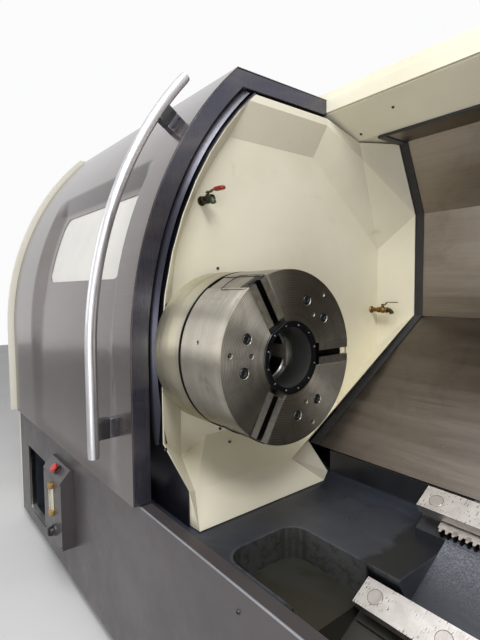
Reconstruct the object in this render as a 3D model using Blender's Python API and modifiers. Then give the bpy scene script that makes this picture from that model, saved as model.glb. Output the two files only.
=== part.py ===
"""A heavy slant-bed turning lathe with a big-bore three-jaw power chuck.

Lengths are in metres, +Z is up, +X runs along the spindle away from the
headstock and -Y is the operator's side.  Every piece hangs from one empty,
the spindle datum, which sits on the spindle axis in the plane of the chuck's
face.  Coordinates below are measured from that datum.
"""
import math

import bmesh
import bpy
from mathutils import Matrix, Vector

# The datum's place in the model frame, whose origin is on the floor under the middle of the machine
DATUM = (-0.225, -0.532, 1.360)

# Fits
GAP = 0.0003            # between faces that touch
RUNNING = 0.0008        # radial clearance of what turns
SLIDING = 0.0005        # between sliding faces
SHEET = 0.003           # thin covers
PLATE = 0.004           # heavier covers

# Chuck
CHUCK_R = 0.305
CHUCK_BACK = -0.427
GROOVE_X = -0.2405
GROOVE_W = 0.011
GROOVE_DEPTH = 0.015
SPINDLE_BORE_R = 0.1055
RING_R = 0.1275
RING_FLAT = 0.1215
RING_PROUD = 0.004
RING_DEPTH = 0.120
JAW_W = 0.080
JAW_DEPTH = 0.056
JAW_FOOT_W = 0.110
JAW_FOOT_H = 0.022
JAW_IN_R = 0.142
JAW_OUT_R = 0.300
TEE_NECK_W = 0.025
TEE_NECK_H = 0.018
TEE_HEAD_W = 0.044
TEE_HEAD_H = 0.016
BOLT_R = 0.0180
BOLT_DEPTH = 0.012
BOLT_TURNS = (38.5, 68.5)
BOLT_RADII = (0.2115, 0.2115)
JAW_ANGLES = (0.0, 120.0, 240.0)

# Spindle and headstock
WALL_X = -0.520
NOSE_R = 0.192
NOSE_X = -0.500
HEAD_X0 = -1.800
HEAD_X1 = -0.560
HEAD_FRONT = -0.235
HEAD_REAR = 0.550
HEAD_TOP = 0.360
HEAD_SHOULDER = 0.200
HEAD_CROWN = (-0.110, 0.340)
HEAD_BORE_R = 0.175
JOURNAL_R = 0.145
REAR_JOURNAL_R = 0.130
BEARING_LEN = 0.160
SPINDLE_REAR = -2.020
FLANGE_R = 0.190
PULLEY_X0 = -1.960
PULLEY_X1 = -1.830
PULLEY_R = 0.200
PULLEY_GROOVES = 4
MOTOR_Y = 0.830
MOTOR_Z = -0.330
MOTOR_R = 0.210
MOTOR_LEN = 0.620
MOTOR_PULLEY_R = 0.110
MOTOR_SHAFT_R = 0.035
BELT_T = 0.012
MOTOR_GAP = 0.030
CYLINDER_X0 = -2.240
CYLINDER_R = 0.165
CYLINDER_NECK_R = 0.130
CYLINDER_BORE_R = 0.090
SPINDLE_STEPS = 40      # facets of the spindle and of all that fits it

# Bed
BED_X0 = -2.250
BED_X1 = 2.700
BED_TOP = -0.617
BED_BOTTOM = -1.295
BED_FRONT = -0.321
BED_REAR = 1.050
FOOT_H = 0.065
FOOT_R = 0.070
FOOT_X = (-2.0, -0.9, 0.3, 1.4, 2.4)
FOOT_Y = (-0.18, 0.90)
TROUGH_X0 = -0.030
TROUGH_X1 = 2.620
TROUGH_FRONT = -0.275
TROUGH_REAR = 0.040
TROUGH_FLOOR = -0.730
TROUGH_CORNER = 0.070
SEAT_X0 = 0.400
LEDGE_Y0 = 0.505
LEDGE_Y1 = 0.560
LEDGE_TOP = -0.5137

# Slanted ways: s runs up the slope to the rear, t stands off it
SLANT = math.radians(29.1)
WAY_Y = -0.038
WAY_Z = -0.697
WAY_W = 0.090
WAY_T = 0.035
WEB_W = 0.060
SEAT_DROP = 0.070
SEAT_LOW = 0.004        # the rough slope under the machined rails
RAIL_LIP = 0.016
REAR_RAIL_LIP = 0.042
REAR_WAY_S = 0.395
WAY_X0 = 0.296
WAY_X1 = 2.550
SPINDLE_T = 0.627       # the spindle axis above the ways' plane

# Rack
RACK_PITCH = 0.0220
RACK_TOOTH = 0.012
RACK_X0 = 0.375
RACK_TEETH = 94
RACK_W = 0.040
RACK_H = 0.028

# Front apron and sill
APRON_X0 = -2.300
APRON_X1 = 2.750
APRON_Y = -0.370
SILL_Z = -0.583
SILL_W = 0.049
APRON_BOTTOM = -1.293
RECESS_X0 = -2.100
RECESS_X1 = -1.720
RECESS_Z0 = -1.215
RECESS_Z1 = -0.790
RECESS_DEEP = 0.220
RECESS_ROOM = 0.030

# Service box
BOX_X0 = -1.505
BOX_X1 = -1.205
BOX_Y = -0.435
BOX_Z0 = -1.090
BOX_Z1 = -0.735
BOX_TOP_Z = -0.680
BOX_TOP_Y = -0.385
STOP_X = -1.330
STOP_R = 0.024
STOP_TRAVEL = 0.006
GAUGE_X = -1.345
GAUGE_Z0 = -0.950
GAUGE_Z1 = -0.775
KNOB_X = -1.315
KNOB_Z = -1.020

# Guard enclosure
GUARD_PROFILE = ((1.074, 0.991), (1.244, 0.641), (1.246, 0.086), (0.509, -0.505))
GUARD_BACK = 0.008
GUARD_REACH = 0.004
GUARD_X0 = -0.284
GUARD_LOW_X0 = -0.385
GUARD_X1 = 1.395
GASKET_W = 0.045
GASKET_T = 0.005

# Covers and door
ARC_Z = -0.023          # the height of the curve's centre
DOOR_FRONT = -0.398     # the door's foremost line
DOOR_R = 1.637
HOOD_INSET = 0.125      # the fixed hood lies inside the door
COVER_LAP = 0.025       # the end covers stand round the door
ARC_Y = DOOR_FRONT + DOOR_R
HOOD_R = DOOR_R - HOOD_INSET
COVER_R = DOOR_R + COVER_LAP
COVER_STEPS = 14        # flats round the curve
DOOR_TOP = 1.167
HOOD_TOP = 1.085
RIM_HEIGHTS = (-0.360, -0.100, 0.060, 0.220, 0.380, 0.530, 0.670, 0.790, 0.900, 0.990, HOOD_TOP - 0.003)
DOOR_X0 = -2.250
DOOR_X1 = -0.433
DOOR_BOTTOM = -0.578
DOOR_REAR = 0.6715
DOOR_LAP = 0.002        # the skin's rear edge stops this short of the beam
FLANGE_DEPTH = 0.072
FLANGE_LEN = 0.042
HOOD_X0 = -2.300
RIM_X0 = -0.560
RIM_X1 = -0.433
WINDOW_X0 = -1.620
WINDOW_X1 = -0.665
WINDOW_Z0 = 0.290
WINDOW_Z1 = 0.660
WINDOW_CORNER = 0.050
PANE_T = 0.006
PANE_LAP = 0.030
PANE_FACETS = (3, 8)     # the flats between which the window lies
BEAM_FRONT = 0.690
BEAM_REAR = 1.090
BEAM_TOP = 1.210
BEAM_SILL = 1.100
BEAM_NOSE = 0.890
BEAM_UNDER = 1.000
RAIL_Z0 = 1.105
HANDLE_X = -0.569
HANDLE_OFF = 0.095
HANDLE_R = 0.0225
HANDLE_LOW = -0.405
HANDLE_BEND = -0.210    # straight below, concentric with the door above
HANDLE_TOP = 1.125
BRACKET_W = 0.080
BRACKET_LEN = 0.036
BRACKET_LOW_DEG = 189.6
BRACKET_HIGH_FACET = 10.5
COVER_REAR = 1.600
END_T = 0.030
RIGHT_X0 = 1.400
CABINET_X0 = -1.600
CABINET_X1 = -0.500
CABINET_Z0 = -0.900
CABINET_Z1 = 0.900
CABINET_T = 0.020
CABINET_HINGE = (CABINET_X0 - 0.004, COVER_REAR + 0.004, 0.0)

# Carriage, turret and tailstock
SADDLE_X0 = 0.800
SADDLE_X1 = 1.250
SADDLE_S1 = 1.100
SADDLE_T = 0.080
SLIDE_S0 = 0.250
SLIDE_S1 = 1.090
SLIDE_T = 0.160
SLIDE_INSET = 0.020
NUT_HALF = 0.050
NUT_INSET = 0.120
NUT_LOW = -0.055
NUT_TOP = 0.030
TURRET_S = 0.900
TURRET_R = 0.240
TURRET_X0 = 0.680
TURRET_LEN = 0.130
TURRET_CAP_R = 0.060
TURRET_CAP = 0.020
TURRET_HUB_R = 0.090
TURRET_HUB = 0.150
HOUSING_HALF = 0.180
HOUSING_OVER = 0.230    # the housing's top above the spindle axis
SERVO_T0 = 0.035
SERVO_T1 = 0.135
SERVO_LEN = 0.220
SERVO_INSET = 0.170
TAIL_X0 = 1.750
TAIL_X1 = 2.300
# the tailstock's outline on the slope, s and t from its front foot round to its front shoulder
TAIL_S = (-0.030, 0.520, 0.520, 0.500, 0.440, 0.300, 0.230, 0.120, -0.030)
TAIL_FOOT = 0.120
TAIL_WAIST = 0.200
TAIL_SHOULDER = 0.050   # above the spindle axis
TAIL_CROWN = 0.125
QUILL_R = 0.085
QUILL_REACH = 0.060
QUILL_LEN = 0.540
CENTRE_R = 0.055
CENTRE_BODY = 0.090
CENTRE_CONE_R = 0.030
CENTRE_LEN = 0.150
SCREW_S = 0.240
SCREW_T = -0.020
SCREW_R = 0.018
SCREW_X0 = 0.620
FEED_SERVO_X0 = 2.450
FEED_SERVO_LEN = 0.150
FEED_SERVO_HALF = 0.055
FEED_SERVO_TOP = 0.040

# Valves on the bulkhead
FRONT_VALVE_AT = (-0.018, 0.610)
FRONT_VALVE_LEN = 0.090
REAR_VALVE_AT = (1.180, 0.112)
REAR_VALVE_LEN = 0.140
VALVE_R = 0.016
VALVE_STUB_R = 0.010
VALVE_HALF = 0.022
STEM_R = 0.005
STEM_TOP = 0.026
LEVER_W = 0.016
LEVER_LEN = 0.095
LEVER_T = 0.004
GRIP_START = 0.035
GRIP_W = 0.020
GRIP_REACH = 0.003      # the grip's skin below and beyond the lever

# Control panel
PANEL_X0 = 1.640
PANEL_W = 0.540
PANEL_Z0 = -0.150
PANEL_Z1 = 0.450
PANEL_Y = -0.500
PANEL_T = 0.080
FORK_Z0 = -0.145
FORK_Z1 = -0.030
FORK_EAR = 0.020
FORK_ARM = 0.040
EAR_R = 0.0135          # inside the panel's edge, which turns round it
PIN_R = 0.008
PIN_OFF = 0.015         # the pin's axis in front of the panel's edge
BARREL_R = 0.0165
BARREL_ROOM = 0.025


def slope(s, t):
    """A point of the slope's s, t section as y, z."""
    y = WAY_Y + s * math.cos(SLANT) - t * math.sin(SLANT)
    z = WAY_Z + s * math.sin(SLANT) + t * math.cos(SLANT)
    return (y, z)


def clear_scene():
    for item in list(bpy.data.objects):
        bpy.data.objects.remove(item, do_unlink=True)


def collection(name):
    group = bpy.data.collections.new(name)
    bpy.context.scene.collection.children.link(group)
    return group


clear_scene()
PARTS = collection("turning_lathe")
CUTTERS = collection("cutters")

datum = bpy.data.objects.new("spindle_datum", None)
datum.location = DATUM
PARTS.objects.link(datum)


def material(name, colour, roughness, metallic):
    mat = bpy.data.materials.new(name)
    mat.use_nodes = True
    shader = mat.node_tree.nodes["Principled BSDF"]
    shader.inputs["Base Color"].default_value = (*colour, 1.0)
    shader.inputs["Roughness"].default_value = roughness
    shader.inputs["Metallic"].default_value = metallic
    return mat


CREAM = ("cream paint", (0.80, 0.76, 0.62), 0.45, 0.0)
DARK = ("dark grey paint", (0.085, 0.085, 0.10), 0.30, 0.0)
SLATE = ("slate casting paint", (0.035, 0.040, 0.055), 0.45, 0.0)
STEEL = ("machined steel", (0.42, 0.41, 0.39), 0.32, 1.0)
GROUND = ("ground steel", (0.60, 0.58, 0.55), 0.25, 1.0)
STAINLESS = ("brushed stainless", (0.45, 0.42, 0.39), 0.35, 1.0)
SATIN = ("satin tube", (0.66, 0.66, 0.70), 0.22, 1.0)
BLACK = ("black rubber", (0.01, 0.01, 0.01), 0.70, 0.0)
BLACKED = ("blacked steel", (0.05, 0.05, 0.05), 0.40, 0.8)
BRASS = ("brass", (0.60, 0.42, 0.20), 0.35, 1.0)
RED = ("red plastic", (0.70, 0.04, 0.03), 0.40, 0.0)
GLASS = ("window sheet", (0.75, 0.78, 0.75), 0.05, 0.0)
MOTOR = ("motor grey", (0.16, 0.17, 0.18), 0.50, 0.2)


def add(name, mesh, finish, parent=datum):
    """Put a mesh in the parts collection under the datum, with its own material."""
    obj = bpy.data.objects.new(name, mesh)
    PARTS.objects.link(obj)
    obj.parent = parent
    if finish is not None:
        mesh.materials.clear()
        mesh.materials.append(material(name + " " + finish[0], *finish[1:]))
    return obj


def empty(name, place, parent=datum):
    """An empty on a joint's axis, placed in its parent's coordinates."""
    obj = bpy.data.objects.new(name, None)
    obj.location = place
    obj.parent = parent
    PARTS.objects.link(obj)
    return obj


def finish_mesh(mesh, smooth):
    if smooth:
        mesh.shade_smooth()
        mesh.set_sharp_from_angle(angle=math.radians(35))


def bevelled(obj, width, segments=1):
    mod = obj.modifiers.new("edge", 'BEVEL')
    mod.width = width
    mod.segments = segments
    mod.limit_method = 'ANGLE'
    mod.angle_limit = math.radians(50)
    return obj


def box(name, lo, hi, finish, parent=datum, origin=(0, 0, 0)):
    """A box between two corners given from the datum, its origin at the given point."""
    mesh = bpy.data.meshes.new(name)
    bm = bmesh.new()
    bmesh.ops.create_cube(bm, size=1.0)
    size = [h - l for l, h in zip(lo, hi)]
    middle = [(h + l) / 2 - o for l, h, o in zip(lo, hi, origin)]
    bmesh.ops.transform(bm, matrix=Matrix.LocRotScale(Vector(middle), None, Vector(size)), verts=bm.verts)
    bm.to_mesh(mesh)
    bm.free()
    return add(name, mesh, finish, parent)


def outline_mesh(name, loops, depth):
    """A flat outline, with holes as further loops, extruded to the depth about z = 0."""
    curve = bpy.data.curves.new(name, 'CURVE')
    curve.dimensions = '2D'
    curve.fill_mode = 'BOTH'
    curve.extrude = depth / 2
    for loop in loops:
        spline = curve.splines.new('POLY')
        spline.points.add(len(loop) - 1)
        for point, (x, y) in zip(spline.points, loop):
            point.co = (x, y, 0.0, 1.0)
        spline.use_cyclic_u = True
    holder = bpy.data.objects.new(name + "_curve", curve)
    CUTTERS.objects.link(holder)
    bpy.context.view_layer.update()
    graph = bpy.context.evaluated_depsgraph_get()
    mesh = bpy.data.meshes.new_from_object(holder.evaluated_get(graph))
    bpy.data.objects.remove(holder, do_unlink=True)
    bm = bmesh.new()
    bm.from_mesh(mesh)
    bmesh.ops.remove_doubles(bm, verts=bm.verts, dist=0.00002)
    bmesh.ops.recalc_face_normals(bm, faces=bm.faces)
    bm.to_mesh(mesh)
    bm.free()
    mesh.name = name
    return mesh


ALONG_X = Matrix(((0, 0, 1), (1, 0, 0), (0, 1, 0))).to_4x4()
ALONG_Y = Matrix(((1, 0, 0), (0, 0, -1), (0, 1, 0))).to_4x4()


def section(name, loops, x0, x1, finish, parent=datum, smooth=False, origin=(0, 0, 0)):
    """Outlines in y, z carried along x from x0 to x1."""
    mesh = outline_mesh(name, loops, x1 - x0)
    shift = Vector(((x0 + x1) / 2 - origin[0], -origin[1], -origin[2]))
    mesh.transform(Matrix.Translation(shift) @ ALONG_X)
    finish_mesh(mesh, smooth)
    return add(name, mesh, finish, parent)


def elevation(name, loops, y0, y1, finish, parent=datum, smooth=False, origin=(0, 0, 0)):
    """Outlines in x, z carried along y from y0 to y1."""
    mesh = outline_mesh(name, loops, y1 - y0)
    shift = Vector((-origin[0], (y0 + y1) / 2 - origin[1], -origin[2]))
    mesh.transform(Matrix.Translation(shift) @ ALONG_Y)
    finish_mesh(mesh, smooth)
    return add(name, mesh, finish, parent)


def turned(name, profile, finish, parent=datum, place=(0, 0, 0), axis='X', steps=48, closed=False):
    """A profile of (radius, height) points, outer side from top to bottom, turned about its axis."""
    mesh = bpy.data.meshes.new(name)
    points = [(r, 0.0, h) for r, h in profile]
    edges = [(i, i + 1) for i in range(len(points) - 1)]
    if closed:
        edges.append((len(points) - 1, 0))
    mesh.from_pydata(points, edges, [])
    obj = add(name, mesh, finish, parent)
    obj.location = place
    if axis == 'X':
        obj.rotation_euler = (0.0, math.pi / 2, 0.0)
    elif axis == 'Y':
        obj.rotation_euler = (math.pi / 2, 0.0, 0.0)
    mod = obj.modifiers.new("turn", 'SCREW')
    mod.steps = steps
    mod.render_steps = steps
    mod.merge_threshold = 0.0001
    mod.use_merge_vertices = True
    mod.use_normal_calculate = False
    mod.use_smooth_shade = True
    return obj


def as_cutter(obj):
    """Move an object to the cutters, out of the model."""
    PARTS.objects.unlink(obj)
    CUTTERS.objects.link(obj)
    obj.hide_render = True
    obj.display_type = 'WIRE'
    return obj


def boolean(obj, tool, operation='DIFFERENCE'):
    mod = obj.modifiers.new(tool.name, 'BOOLEAN')
    mod.operation = operation
    mod.solver = 'EXACT'
    mod.object = tool
    return obj


def cut(obj, *tools):
    for tool in tools:
        boolean(obj, as_cutter(tool))
    return obj


def join(obj, *tools):
    for tool in tools:
        boolean(obj, as_cutter(tool), 'UNION')
    return obj


def pipe(name, points, radius, finish, parent=datum, resolution=2, origin=(0, 0, 0)):
    """A round bar along a path of points."""
    curve = bpy.data.curves.new(name, 'CURVE')
    curve.dimensions = '3D'
    curve.bevel_depth = radius
    curve.bevel_resolution = resolution
    curve.use_fill_caps = True
    spline = curve.splines.new('POLY')
    spline.points.add(len(points) - 1)
    for point, place in zip(spline.points, points):
        point.co = (*[p - o for p, o in zip(place, origin)], 1.0)
    obj = bpy.data.objects.new(name, curve)
    PARTS.objects.link(obj)
    obj.parent = parent
    curve.materials.append(material(name + " " + finish[0], *finish[1:]))
    return obj


def sheet(name, vertices, faces, thickness, finish, offset=-1.0, parent=datum):
    """A folded sheet: an open surface whose thickness lies behind it."""
    mesh = bpy.data.meshes.new(name)
    mesh.from_pydata(vertices, [], faces)
    bm = bmesh.new()
    bm.from_mesh(mesh)
    bmesh.ops.triangulate(bm, faces=bm.faces)
    bm.to_mesh(mesh)
    bm.free()
    obj = add(name, mesh, finish, parent)
    mod = obj.modifiers.new("thickness", 'SOLIDIFY')
    mod.thickness = thickness
    mod.offset = offset
    return obj


def arc(radius, from_deg, to_deg, count, centre=(ARC_Y, ARC_Z)):
    """Points on the door's curve; 180 degrees is level with the arc's centre at the front."""
    points = []
    for i in range(count + 1):
        a = math.radians(from_deg + (to_deg - from_deg) * i / count)
        points.append((centre[0] + radius * math.cos(a), centre[1] + radius * math.sin(a)))
    return points


def arc_end(radius, top):
    """The angle at which the curve of this radius reaches the given height."""
    return 180.0 - math.degrees(math.asin((top - ARC_Z) / radius))




def cover_outline(radius, top, rear, bottom, count=COVER_STEPS):
    """A cover's front: straight up, round the curve and back along the flat top."""
    return [(ARC_Y - radius, bottom)] + arc(radius, 180.0, arc_end(radius, top), count) + [(rear, top)]


# the angle of one facet of the door's curve
def cover_step():
    """The turn in degrees from one flat of the door's curve to the next."""
    return (180.0 - arc_end(DOOR_R, DOOR_TOP)) / COVER_STEPS


def shell_section(radius, top, rear, bottom, thickness, count=COVER_STEPS):
    """The closed outline of a bent cover sheet of the given thickness."""
    outer = cover_outline(radius, top, rear, bottom, count)
    inner = cover_outline(radius - thickness, top - thickness, rear, bottom, count)
    return outer + inner[::-1]


def offset_path(points, distance):
    """A polyline moved sideways, its corners mitred; positive is to its left."""
    moved = []
    for i, point in enumerate(points):
        here = Vector(point)
        before = (here - Vector(points[i - 1])).normalized() if i > 0 else None
        after = (Vector(points[i + 1]) - here).normalized() if i < len(points) - 1 else None
        before = before or after
        after = after or before
        left_a = Vector((-before.y, before.x))
        left_b = Vector((-after.y, after.x))
        mitre = (left_a + left_b).normalized()
        moved.append(tuple(here + mitre * (distance / mitre.dot(left_a))))
    return moved


def rounded(x0, z0, x1, z1, radius, steps=4):
    """A rectangle with round corners."""
    points = []
    corners = ((x1 - radius, z1 - radius, 0), (x0 + radius, z1 - radius, 90),
               (x0 + radius, z0 + radius, 180), (x1 - radius, z0 + radius, 270))
    for cx, cz, start in corners:
        for i in range(steps + 1):
            a = math.radians(start + 90.0 * i / steps)
            points.append((cx + radius * math.cos(a), cz + radius * math.sin(a)))
    return points


# The bed

def drop(s0, s1, t, deep):
    """A block under the slope from s0 to s1, its sides upright."""
    front = slope(s0, t)
    rear = slope(s1, t)
    return [front, (front[0], deep), (rear[0], deep), rear]


def make_bed():
    body = section("bed", [[(BED_FRONT, BED_BOTTOM), (BED_REAR, BED_BOTTOM), (BED_REAR, BED_TOP),
                            (BED_FRONT, BED_TOP)]], BED_X0, BED_X1, SLATE)
    trough_plan = rounded(TROUGH_X0, TROUGH_FRONT, TROUGH_X1, TROUGH_REAR, TROUGH_CORNER)
    trough_mesh = outline_mesh("trough_cut", [trough_plan], BED_TOP - TROUGH_FLOOR + 0.1)
    trough = add("trough_cut", trough_mesh, None)
    trough.location = (0.0, 0.0, (BED_TOP + TROUGH_FLOOR + 0.1) / 2)
    recess = box("recess_cut", (RECESS_X0 - RECESS_ROOM, BED_FRONT - 0.05, RECESS_Z0 - 0.02),
                 (RECESS_X1 + RECESS_ROOM, BED_FRONT + RECESS_DEEP, RECESS_Z1 + 0.02), None)
    seat_t = -SEAT_DROP - SEAT_LOW
    notch = slope_box("way_notch", -0.200, WAY_W + 0.015, seat_t - 0.002, 0.200, WAY_X0 - 0.010,
                      SEAT_X0 + 0.002, None)
    slant = slope_box("slant_cut", -0.200, 0.600, seat_t - GAP, 0.300, SEAT_X0 + 0.001,
                      TROUGH_X1 + 0.020, None)
    cut(body, trough, recess, notch, slant)
    deep = TROUGH_FLOOR - 0.05
    rear_end = REAR_WAY_S + WAY_W + 0.010
    seat = section("bed_seat", [drop(0.0, rear_end, seat_t, deep)], SEAT_X0, TROUGH_X1 + 0.030, None)
    front_rail = section("front_rail", [drop(-RAIL_LIP, WAY_W + 0.010, -SEAT_DROP, deep - 0.002)], WAY_X0,
                         TROUGH_X1 + 0.032, None)
    under_rear = drop(REAR_WAY_S - REAR_RAIL_LIP, rear_end + 0.002, -SEAT_DROP, deep - 0.004)
    rear_rail = section("rear_rail", [under_rear], WAY_X0, TROUGH_X1 + 0.034, None)
    ledge = box("bed_ledge", (GUARD_X0 + 0.030, LEDGE_Y0, BED_TOP - 0.05), (TROUGH_X1, LEDGE_Y1, LEDGE_TOP),
                None)
    join(body, seat, front_rail, rear_rail, ledge)
    for i, x in enumerate(FOOT_X):
        for j, y in enumerate(FOOT_Y):
            name = "foot_%d_%d" % (i, j)
            foot = turned(name, [(0.0, 0.03), (FOOT_R * 0.5, 0.03), (FOOT_R * 0.5, -0.03),
                                 (FOOT_R, -FOOT_H + 0.015), (FOOT_R, -FOOT_H), (0.0, -FOOT_H)],
                          None, place=(x, y, BED_BOTTOM), axis='Z', steps=16)
            join(body, foot)
    return body


def make_way(name, s0):
    """One hardened way: a wide top on a narrower web."""
    inset = (WAY_W - WEB_W) / 2
    outline = [slope(s0, 0.0), slope(s0, -WAY_T), slope(s0 + inset, -WAY_T),
               slope(s0 + inset, -SEAT_DROP + GAP), slope(s0 + WAY_W - inset, -SEAT_DROP + GAP),
               slope(s0 + WAY_W - inset, -WAY_T), slope(s0 + WAY_W, -WAY_T), slope(s0 + WAY_W, 0.0)]
    return section(name, [outline], WAY_X0, WAY_X1, GROUND)


def make_rack():
    """The feed rack: a toothed bar on the front of the rear way's web, teeth to the front."""
    back_s = REAR_WAY_S + (WAY_W - WEB_W) / 2 - GAP
    root_s = back_s - RACK_W
    tip_s = root_s - RACK_TOOTH
    outline = [(RACK_X0, back_s), (RACK_X0, root_s)]
    for i in range(RACK_TEETH):
        x = RACK_X0 + 0.004 + i * RACK_PITCH
        outline += [(x, root_s), (x + RACK_PITCH * 0.18, tip_s), (x + RACK_PITCH * 0.45, tip_s),
                    (x + RACK_PITCH * 0.63, root_s)]
    end = RACK_X0 + 0.004 + RACK_TEETH * RACK_PITCH
    outline += [(end, root_s), (end, back_s)]
    mesh = outline_mesh("gear_rack", [outline], RACK_H)
    middle_t = -SEAT_DROP + GAP + RACK_H / 2
    y, z = slope(0.0, middle_t)
    mesh.transform(Matrix.Translation((0.0, y, z)) @ Matrix.Rotation(SLANT, 4, 'X'))
    return add("gear_rack", mesh, STEEL)


# Front apron, service box

def make_apron():
    """The folded front skin: apron, sill and the lip that hooks on the bed."""
    inner = APRON_Y + PLATE
    lip = APRON_Y + SILL_W
    outline = [(APRON_Y, APRON_BOTTOM), (inner, APRON_BOTTOM), (inner, SILL_Z - PLATE),
               (lip - PLATE, SILL_Z - PLATE), (lip - PLATE, BED_TOP - 0.060), (lip - GAP, BED_TOP - 0.060),
               (lip - GAP, SILL_Z), (APRON_Y, SILL_Z)]
    apron = section("front_apron", [outline], APRON_X0, APRON_X1, DARK)
    window = box("apron_cut", (RECESS_X0, APRON_Y - 0.05, RECESS_Z0), (RECESS_X1, inner + 0.005, RECESS_Z1),
                 None)
    return cut(apron, window)


def make_service_box():
    back = APRON_Y - GAP
    outline = [(back, BOX_Z0), (BOX_Y, BOX_Z0), (BOX_Y, BOX_Z1), (BOX_TOP_Y, BOX_TOP_Z), (back, BOX_TOP_Z)]
    return section("service_box", [outline], BOX_X0, BOX_X1, DARK)


def make_stop_button(box_body):
    """The mushroom button in its collar on the box's sloped top; it presses in along the slope's normal."""
    run = Vector((0.0, BOX_TOP_Y - BOX_Y, BOX_TOP_Z - BOX_Z1)).normalized()
    out = Vector((0.0, -run.z, run.y))
    middle = Vector((STOP_X, (BOX_Y + BOX_TOP_Y) / 2, (BOX_Z1 + BOX_TOP_Z) / 2))
    tilt = math.atan2(-out.y, out.z)
    bore = turned("stop_button_bore", [(0.0, 0.02), (0.0108, 0.02), (0.0108, -0.010), (0.0, -0.010)], None,
                  place=middle, axis='Z', steps=24)
    bore.rotation_euler = (tilt, 0.0, 0.0)
    cut(box_body, bore)
    collar = turned("stop_button_collar",
                    [(0.021, 0.008), (0.021, -0.004), (0.0116, -0.004), (0.0116, 0.008)], None,
                    place=middle, axis='Z', steps=24, closed=True)
    collar.rotation_euler = (tilt, 0.0, 0.0)
    join(box_body, collar)
    lift = 0.008 + STOP_TRAVEL + GAP
    button = turned("stop_button", [(0.0, 0.022), (0.010, 0.021), (STOP_R, 0.014), (STOP_R, 0.004),
                                    (0.020, 0.0), (0.010, 0.0), (0.010, -0.016), (0.0, -0.016)], RED,
                    place=middle + out * lift, axis='Z', steps=24)
    button.rotation_euler = (tilt, 0.0, 0.0)
    return button


def make_gauge():
    """A column sight gauge in its metal frame."""
    plan = rounded(GAUGE_X - 0.018, GAUGE_Z0, GAUGE_X + 0.018, GAUGE_Z1, 0.008, 3)
    frame = elevation("sight_gauge", [plan], BOX_Y - 0.022, BOX_Y - GAP, BRASS)
    return bevelled(frame, 0.004)


def make_knob(box_body):
    """The round switch plate, raised on the box, and its turning knob."""
    plate = turned("isolator_plate", [(0.0, 0.010), (0.030, 0.010), (0.032, -0.004), (0.0, -0.004)], None,
                   place=(KNOB_X, BOX_Y, KNOB_Z), axis='Y', steps=24)
    join(box_body, plate)
    hub = turned("isolator_knob", [(0.0, 0.020), (0.016, 0.020), (0.018, 0.0), (0.0, 0.0)], BLACKED,
                 place=(KNOB_X, BOX_Y - 0.010 - GAP, KNOB_Z), axis='Y', steps=24)
    bar = box("knob_bar", (-0.006, -0.028, 0.004), (0.006, 0.028, 0.030), None, parent=hub)
    join(hub, bar)
    return hub


# Headstock, spindle and drive

def ring(name, outer, inner, x0, x1, finish, steps):
    profile = [(outer, x1), (outer, x0), (inner, x0), (inner, x1)]
    return turned(name, profile, finish, steps=steps, closed=True)


def make_headstock():
    low = BED_TOP + GAP
    outline = [(HEAD_FRONT, low), (HEAD_REAR, low), (HEAD_REAR, HEAD_SHOULDER), (HEAD_CROWN[1], HEAD_TOP),
               (HEAD_CROWN[0], HEAD_TOP), (HEAD_FRONT, HEAD_SHOULDER)]
    head = section("headstock", [outline], HEAD_X0, HEAD_X1, SLATE)
    root = HEAD_X1 - 0.1
    nose = turned("nose", [(0.0, NOSE_X), (NOSE_R, NOSE_X), (NOSE_R, root), (0.0, root)], None)
    join(head, nose)
    past = HEAD_X0 - 0.1
    bore = turned("head_bore", [(0.0, 0.1), (HEAD_BORE_R, 0.1), (HEAD_BORE_R, past), (0.0, past)], None,
                  steps=SPINDLE_STEPS)
    return cut(head, bore)



def make_spindle():
    face = CHUCK_BACK
    flange = NOSE_X + 0.005
    step = flange - 0.300
    outer = [(FLANGE_R, face), (FLANGE_R, flange), (JOURNAL_R, flange), (JOURNAL_R, step),
             (REAR_JOURNAL_R, step), (REAR_JOURNAL_R, SPINDLE_REAR)]
    inner = [(SPINDLE_BORE_R, SPINDLE_REAR), (SPINDLE_BORE_R, face)]
    return turned("spindle", outer + inner, GROUND, parent=chuck_axis, steps=SPINDLE_STEPS, closed=True)


def make_bearings():
    x1 = NOSE_X - 0.010
    outer = HEAD_BORE_R - GAP
    ring("front_bearing", outer, JOURNAL_R + RUNNING, x1 - BEARING_LEN, x1, STEEL, SPINDLE_STEPS)
    x0 = HEAD_X0 + 0.010
    ring("rear_bearing", outer, REAR_JOURNAL_R + RUNNING, x0, x0 + BEARING_LEN, STEEL, SPINDLE_STEPS)


def groove_profile(radius, x0, x1, count):
    """The rim of a ribbed-belt pulley, from x1 to x0."""
    points = [(radius, x1)]
    pitch = (x1 - x0) / count
    for i in range(count):
        x = x1 - i * pitch
        points += [(radius, x - pitch * 0.25), (radius - 0.008, x - pitch * 0.4),
                   (radius - 0.008, x - pitch * 0.6), (radius, x - pitch * 0.75)]
    points.append((radius, x0))
    return points


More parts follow.
